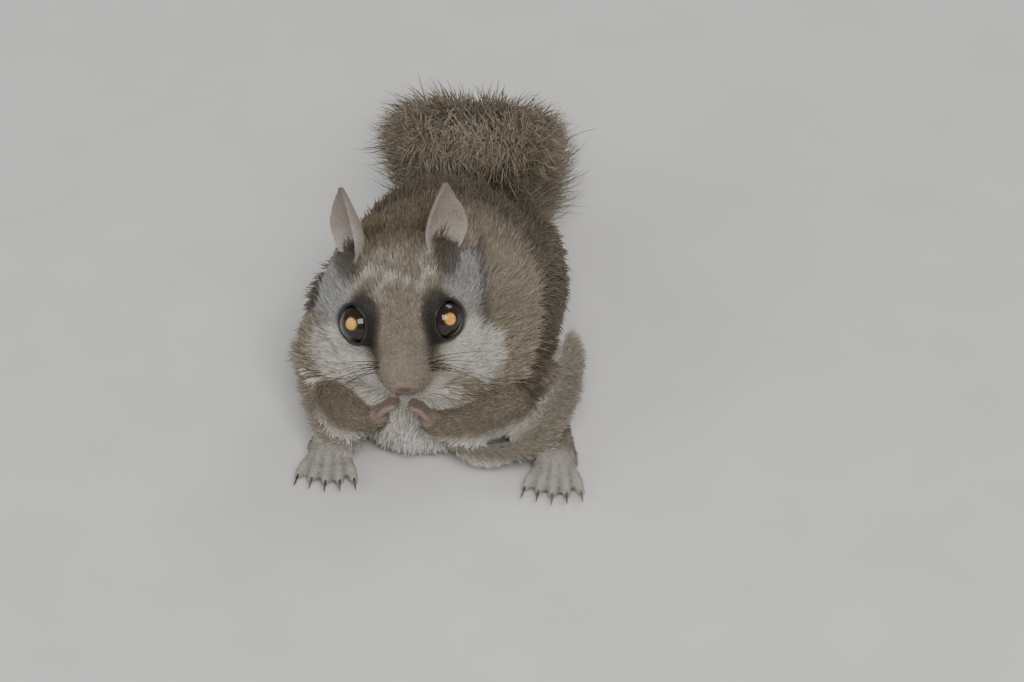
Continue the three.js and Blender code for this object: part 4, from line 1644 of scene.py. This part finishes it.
    def _piece(
        self, name: str, tufts: Tufts, cut: tuple[Array, ...], material: bpy.types.Material,
    ) -> bpy.types.Object:
        """Turns a run of tufts into one mesh with its colours and its bake map.

        Args:
            name: the piece's name.
            tufts: the stretch of coat.
            cut: vertices, places along the tuft, colours and sheet places.
            material: the hair's material.

        Returns:
            The object.
        """
        blade, along, colour, sheet = cut
        count, per = blade.shape[:2]
        faces = []
        for ring in range(tufts.rings - 1):
            for k in range(3):
                a, b = ring * 3 + k, ring * 3 + (k + 1) % 3
                faces += [(a, b, b + 3), (a, b + 3, a + 3)]
        last = (tufts.rings - 1) * 3
        faces += [(last + k, last + (k + 1) % 3, per - 1) for k in range(3)]
        corners = np.array(faces).ravel()
        loops = (np.arange(count)[:, None] * per + corners[None, :]).ravel()
        mesh = bpy.data.meshes.new(name)
        mesh.vertices.add(count * per)
        mesh.vertices.foreach_set("co", blade.astype(np.float32).ravel())
        mesh.loops.add(len(loops))
        mesh.loops.foreach_set("vertex_index", loops.astype(np.int32))
        mesh.polygons.add(len(loops) // 3)
        mesh.polygons.foreach_set("loop_start", np.arange(0, len(loops), 3, dtype=np.int32))
        mesh.update(calc_edges=True)
        paint(mesh, colour.reshape(-1, 3))
        corner_x = np.array([0, 1, 0.5] * tufts.rings + [0.5])
        spot = np.stack([corner_x - 0.5, along - 0.5], axis=1) * self.patch
        uv = (sheet[:, None, :] + spot[corners][None]).astype(np.float32)
        mesh.uv_layers.new(name=BAKE_MAP).data.foreach_set("uv", uv.ravel())
        return dress(mesh, Piece(name, [], [], material, tufts.slot))

    def build(self) -> list[bpy.types.Object]:
        """Grows the whole coat, in pieces small enough to handle.

        Returns:
            The objects.
        """
        self.ways = self.lie.build()
        made = []
        for k, tufts in enumerate(COAT):
            draws = np.random.default_rng(self.seed + k)
            roots = self._roots(tufts, draws)
            blade, along = self._shape(tufts, roots, draws)
            colour = self._colours(tufts, roots, along, draws)
            sheet = self._map(roots)
            material = FurFinish(f"{tufts.name}_hair").make()
            each = (tufts.rings - 1) * 6 + 3
            parts = max(1, math.ceil(len(blade) * each / self.most))
            order = np.argsort(roots["p"][:, 0])
            for i, run in enumerate(np.array_split(order, parts)):
                name = tufts.name if parts == 1 else f"{tufts.name}_{i + 1}"
                cut = (blade[run], along, colour[run], sheet[run])
                made.append(self._piece(name, tufts, cut, material))
        return made


@dataclass
class Eyes:
    """The two eyeballs and the bare rims of their lids.

    Args:
        layout: places on the animal.
        dark: colour of the iris, 0 to 255.
        edge: colour at its edge, 0 to 255.
        glint: painted reflection, a warm eyeshine deep in the pupil, 0 to 255.
        gaze: way the left pupil faces: side, back and up.
        rim: radius of the lid's rim.
        opening: angle from the eye's axis to the lids, in degrees.
    """

    layout: Layout
    dark: Triple = (34, 22, 14)
    edge: Triple = (8, 6, 5)
    # Painted reflection: warm eyeshine in the pupil
    glint: Triple = (222, 164, 78)
    gaze: Triple = (0.42, -0.12, 0.9)
    rim: float = 0.5
    opening: float = 68.0

    def _ball(self, side: Side) -> bpy.types.Object:
        """Makes one eyeball, bulging slightly at its front.

        Args:
            side: left or right.

        Returns:
            The object.
        """
        axes = axes_about(self.layout.eye_way(side))
        centre = self.layout.eye_centre(side)
        r = self.layout.eye_radius
        vertices, faces = ball(centre, (r, r, r), axes)
        gaze = self.layout.head_way((side.value * self.gaze[0], self.gaze[1], self.gaze[2]))
        away = np.degrees(np.arccos(np.clip(unit(vertices - centre) @ gaze, -1, 1)))
        vertices = vertices + (vertices - centre) * (0.025 * (1 - ease(10, 50, away)))[:, None]
        colour = np.repeat(linear(self.edge)[None], len(vertices), axis=0)
        colour += (linear(self.dark) - colour) * (1 - ease(30, 58, away))[:, None]
        # Painted reflection: a warm eyeshine glow in the middle of the pupil
        colour += (linear(self.glint) - colour) * (0.95 * (1 - ease(13, 20, away)))[:, None]
        name = f"eyeball_{side.word}"
        finish = EyeFinish(f"wet_{name}").make()
        piece = Piece(name, self.layout.to_frame(vertices), faces, finish, "eye", colour)
        return piece.make((f"eye_{side.word}",))

    def _lids(self, side: Side) -> bpy.types.Object:
        """Makes the rim of one eye's lids, drawn out to a corner at the front and the back.

        Args:
            side: left or right.

        Returns:
            The object.
        """
        axes = axes_about(self.layout.eye_way(side), tuple(self.layout.head_way((0, 1, 0))))
        centre = self.layout.eye_centre(side)
        turn = np.linspace(0, 2 * math.pi, 49)[:-1]
        corner = np.abs(np.sin(turn)) ** 6
        open_to = np.radians(self.opening + 7 * corner)
        round_eye = np.cos(turn)[:, None] * axes[:, 0] + np.sin(turn)[:, None] * axes[:, 1]
        way = np.cos(open_to)[:, None] * axes[:, 2] + np.sin(open_to)[:, None] * round_eye
        line = centre + way * (self.layout.eye_radius + 0.12)
        rings, sides = len(line), 8
        along = unit(np.roll(line, -1, axis=0) - np.roll(line, 1, axis=0))
        out = unit(line - centre)
        other = np.cross(along, out)
        angle = np.arange(sides) * 2 * math.pi / sides
        size = self.rim * (1 + 0.25 * np.sin(turn * 2) ** 2)
        high, wide = np.cos(angle)[:, None], 1.35 * np.sin(angle)[:, None]
        ring = [line[i] + size[i] * (high * out[i] + wide * other[i]) for i in range(rings)]
        faces = banded(rings, sides, closed=True)
        finish = BareFinish(f"lid_skin_{side.word}", (40, 32, 28), (22, 17, 15), 0.5).make()
        name = f"lids_{side.word}"
        vertices = self.layout.to_frame(np.vstack(ring))
        return Piece(name, vertices, faces, finish, "face_fur").make()

    def build(self) -> None:
        """Builds both eyes."""
        for side in Side:
            self._ball(side)
            self._lids(side)


@dataclass
class Muzzle:
    """The nose pad with its nostrils, the lips and the whiskers.

    Args:
        layout: places on the animal.
        pad: radii of the nose pad: side, back and up.
        whiskers: number of whiskers on each side.
        longest: length of the longest whisker.
    """

    layout: Layout
    pad: Triple = (2.7, 1.8, 2.1)
    whiskers: int = 10
    longest: float = 21.0

    def _nose(self) -> bpy.types.Object:
        """Makes the bare pad, with a groove down its middle and a nostril on each side.

        Returns:
            The object.
        """
        vertices, faces = ball(np.zeros(3), self.pad, np.eye(3))
        side, back, up = vertices.T
        front = 1 - ease(-0.9, 0.2, back)
        for s in Side:
            gap = np.hypot(side - s.value * 1.15, (up - 0.1 - 0.3 * np.abs(side)) * 1.5)
            vertices[:, 1] += front * (1 - ease(0.15, 0.75, gap))
        vertices[:, 1] += 0.4 * front * (1 - ease(0.0, 0.3, np.abs(side))) * (1 - ease(-0.2, 0.9, up))
        placed = self.layout.on_head(vertices + np.array([0, -0.1, 0.3]))
        finish = BareFinish("nose_skin", (122, 92, 84), (84, 62, 58), 0.4).make()
        return Piece("nose_pad", self.layout.to_frame(placed), faces, finish, "face_fur").make()

    def _mouth(self) -> bpy.types.Object:
        """Makes the line of the mouth and the split above it.

        Returns:
            The object.
        """
        places = np.array([(-5.4, 8.6, -5.6), (-3.9, 4.6, -4.9), (-1.9, 1.9, -4.2), (0, 1.2, -3.6),
                           (1.9, 1.9, -4.2), (3.9, 4.6, -4.9), (5.4, 8.6, -5.6)], dtype=float)
        t = np.linspace(0, 6, 37)
        run = np.stack([np.interp(t, np.arange(7), places[:, k]) for k in range(3)], axis=1)
        run = np.array([run[max(i - 2, 0):i + 3].mean(axis=0) for i in range(len(run))])
        thick = 0.42 * (0.4 + 0.6 * np.sin(np.linspace(0.05, math.pi - 0.05, len(run))))
        forward = self.layout.on_head(run + np.array([0, -0.15, 0]))
        shapes = [tube(self.layout.to_frame(forward), thick * MM, 8)]
        split = np.linspace((0, -1.0, -1.4), (0, 0.6, -3.7), 8)
        shapes.append(tube(self.layout.to_frame(self.layout.on_head(split)), np.full(8, 0.26 * MM), 6))
        vertices, faces = merged(shapes)
        finish = BareFinish("lip_skin", (70, 52, 48), (44, 32, 30), 0.5).make()
        return Piece("mouth_line", vertices, faces, finish, "face_fur").make()

    def _whiskers(self) -> bpy.types.Object:
        """Makes the long dark whiskers, swept back and slightly down on each side.

        Returns:
            The object.
        """
        draws = np.random.default_rng(5)
        shapes = []
        for s in Side:
            for i in range(self.whiskers):
                row, place = i % 4, i // 4
                length = self.longest * (1.0 - 0.2 * place) * (0.75 + 0.35 * draws.random())
                out = s.value * (4.5 + 0.2 * row)
                root = np.array([out, 3.4 + 1.3 * (2 - place), -2.6 + 0.9 * row])
                back = -0.35 + 0.5 * draws.random() + 0.08 * row
                way = unit(np.array([s.value, back, 0.12 + 0.12 * row]))
                droop = np.array([0, -0.35, -0.3 - 0.2 * draws.random()])
                t = np.linspace(0, 1, 12)[:, None]
                line = root + way * length * t + droop * length * 0.5 * t**2
                radii = 0.11 * (1 - 0.85 * t[:, 0])
                shapes.append(tube(self.layout.to_frame(self.layout.on_head(line)), radii * MM, 5))
        vertices, faces = merged(shapes)
        finish = HornFinish("whisker_hair", (36, 30, 26), (20, 16, 14)).make()
        return Piece("whiskers", vertices, faces, finish, "face_fur").make()

    def build(self) -> None:
        """Builds the muzzle's pieces."""
        self._nose()
        self._mouth()
        self._whiskers()


@dataclass
class Claws:
    """The curved claws of the hind toes and of the fingers.

    Args:
        layout: places on the animal.
        toes: number of hind toes.
        fingers: number of fingers.
        length: length of a hind claw.
        finger_length: length of a finger's claw.
    """

    layout: Layout
    toes: int = 5
    fingers: int = 4
    length: float = 3.8
    finger_length: float = 2.1

    @staticmethod
    def _claw(root: Array, way: Array, length: float, radius: float) -> Shape:
        """Makes one claw that bends down to its point.

        Args:
            root: middle of the claw's root.
            way: way it starts.
            length: its length.
            radius: half its width at the root.

        Returns:
            The vertices and the faces.
        """
        t = np.linspace(0, 1, 9)[:, None]
        way = unit(way)
        line = root - way * 0.6 + way * length * t + np.array([0, 0, -0.28]) * length * t**2
        line[:, 2] = np.maximum(line[:, 2], radius * 0.5)
        return tube(line, radius * np.sqrt(1.02 - t[:, 0]), 8, np.array([0, 0, 1.0]), 0.62)

    def _foot(self, side: Side) -> bpy.types.Object:
        """Makes the claws of one hind foot.

        Args:
            side: left or right.

        Returns:
            The object.
        """
        shapes = []
        pad = np.array([side.value * self.layout.foot_spread, 13, 3.4])
        for i in range(self.toes):
            spread = i - (self.toes - 1) / 2
            reach = 9.2 - abs(spread - 0.2) * 1.1
            root = pad + np.array([spread * 2.2, -2.5, -0.9])
            tip = root + np.array([spread * 1.35, -reach * 0.9, -0.7])
            way = np.array([spread * 0.12, -1, 0.1])
            shapes.append(self._claw(tip + np.array([0, -0.5, 0.35]), way, self.length, 0.62))
        vertices, faces = merged(shapes)
        finish = HornFinish(f"hind_horn_{side.word}", (120, 104, 88), (62, 50, 42)).make()
        name = f"hind_claws_{side.word}"
        return Piece(name, self.layout.to_frame(vertices), faces, finish, "foot_fur").make()

    def _hand(self, arm: Arm) -> bpy.types.Object:
        """Makes the claws of one hand.

        Args:
            arm: the arm the hand is on.

        Returns:
            The object.
        """
        shapes = []
        inward = -arm.side.value
        wrist = np.array(arm.wrist)
        for i in range(self.fingers):
            spread = i - (self.fingers - 1) / 2
            root = wrist + np.array([inward * 2.2, -0.7 + spread * 1.35, 3.2 - spread * 0.5])
            knuckle = root + np.array([inward * 2.1, spread * 0.35, 2.6])
            tip = knuckle + np.array([inward * 2.1, 0.5, 0.6])
            way = np.array([inward * 1.4, 0.3, -0.5])
            shapes.append(self._claw(tip, way, self.finger_length, 0.42))
        vertices, faces = merged(shapes)
        finish = HornFinish(f"hand_horn_{arm.side.word}", (150, 128, 112), (88, 70, 60)).make()
        name = f"hand_claws_{arm.side.word}"
        return Piece(name, self.layout.to_frame(vertices), faces, finish, "hand_skin").make()

    def build(self) -> None:
        """Builds the claws of all four feet."""
        for side in Side:
            self._foot(side)
        for arm in ARMS:
            self._hand(arm)


@dataclass(frozen=True)
class Lamp:
    """A soft square light that faces the animal.

    Args:
        name: its name.
        place: its place in metres.
        size: its side in metres.
        watts: its power.
        colour: its colour.
    """

    name: str
    place: Triple
    size: float
    watts: float
    colour: Triple

    def make(self) -> None:
        """Makes the light."""
        data = bpy.data.lights.new(self.name, "AREA")
        data.shape, data.size = "SQUARE", self.size
        data.energy, data.color = self.watts, self.colour
        light = bpy.data.objects.new(self.name, data)
        light.location = self.place
        towards = Vector((0, 0, 0.03)) - Vector(self.place)
        light.rotation_euler = towards.to_track_quat("-Z", "Y").to_euler()
        bpy.context.scene.collection.objects.link(light)


LAMPS = (
    Lamp("key", (0.25, -0.9, 1.0), 0.7, 13.0, (1.0, 0.98, 0.95)),
    Lamp("fill", (-1.1, -0.5, 0.7), 0.9, 5.0, (0.95, 0.97, 1.0)),
    Lamp("back", (0.5, 1.0, 1.1), 0.7, 6.0, (1.0, 1.0, 1.0)),
)


@dataclass
class Studio:
    """The pale floor, the soft lights and the camera at the photograph's angle.

    Args:
        layout: places on the animal.
        azimuth: camera's turn round the animal, in degrees.
        elevation: camera's height above the horizon, in degrees.
        distance: camera to the point it looks at, in metres.
        lens: focal length on a 36 mm wide image.
        aim: point looked at from the layout's origin: right and up in the image.
        sky: colour of the light from all round.
        sky_strength: its strength.
    """

    layout: Layout
    azimuth: float = 5.0
    elevation: float = 38.0
    distance: float = 2.133
    lens: float = 300.0
    aim: Pair = (18.5, 39.75)
    sky: Triple = (0.9, 0.92, 0.95)
    sky_strength: float = 0.35

    def _camera(self) -> None:
        """Makes the camera."""
        a, e = math.radians(self.azimuth), math.radians(self.elevation)
        back = np.array([math.sin(a) * math.cos(e), -math.cos(a) * math.cos(e), math.sin(e)])
        right = np.array([math.cos(a), math.sin(a), 0.0])
        up = np.array([-math.sin(a) * math.sin(e), math.cos(a) * math.sin(e), math.cos(e)])
        target = self.layout.to_frame(self.aim[0] * right + self.aim[1] * up)
        lens = bpy.data.cameras.new("camera")
        lens.lens, lens.sensor_width = self.lens, 36.0
        lens.clip_start, lens.clip_end = 0.1, 20.0
        lens.dof.use_dof = False
        camera = bpy.data.objects.new("camera", lens)
        turned = Matrix(np.stack([right, up, back], axis=1).tolist()).to_4x4()
        camera.matrix_world = Matrix.Translation(Vector(target + back * self.distance)) @ turned
        bpy.context.scene.collection.objects.link(camera)
        bpy.context.scene.camera = camera

    def _floor(self) -> None:
        """Makes the floor: a wide disc with a soft raised rim far outside the view."""
        rings = [(0.02, 0.0), (0.6, 0.0), (1.6, 0.0), (2.2, 0.02), (2.5, 0.12)]
        sides = 64
        turns = [2 * math.pi * k / sides for k in range(sides)]
        vertices = [(r * math.cos(a), r * math.sin(a), z) for r, z in rings for a in turns]
        faces = [tuple(reversed(face)) for face in banded(len(rings), sides)]
        faces.append(tuple(range(sides)))
        mesh = bpy.data.meshes.new("floor")
        mesh.from_pydata(vertices, [], faces)
        mesh.materials.append(FloorFinish().make())
        floor = bpy.data.objects.new("floor", mesh)
        bpy.context.scene.collection.objects.link(floor)

    def build(self) -> None:
        """Sets up the studio."""
        self._camera()
        self._floor()
        for lamp in LAMPS:
            lamp.make()
        world = bpy.data.worlds.new("studio")
        world.use_nodes = True
        background = world.node_tree.nodes["Background"]
        background.inputs["Color"].default_value = (*self.sky, 1)
        background.inputs["Strength"].default_value = self.sky_strength
        bpy.context.scene.world = world


def corners(box: tuple[Vector, Vector]) -> list[list[float]]:
    """Turns a box into plain lists."""
    return [list(map(float, corner)) for corner in box]


def main() -> None:
    """Builds the animal and the studio."""
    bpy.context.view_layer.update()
    layout = Layout()
    tail = TailPath()
    markings = Markings(layout)
    Studio(layout).build()
    skin = Skin(layout, tail, markings)
    skin.build()
    Coat(layout, tail, markings, skin, Lie(layout, tail, skin)).build()
    Eyes(layout).build()
    Muzzle(layout).build()
    Claws(layout).build()


if __name__ == "__main__":
    main()
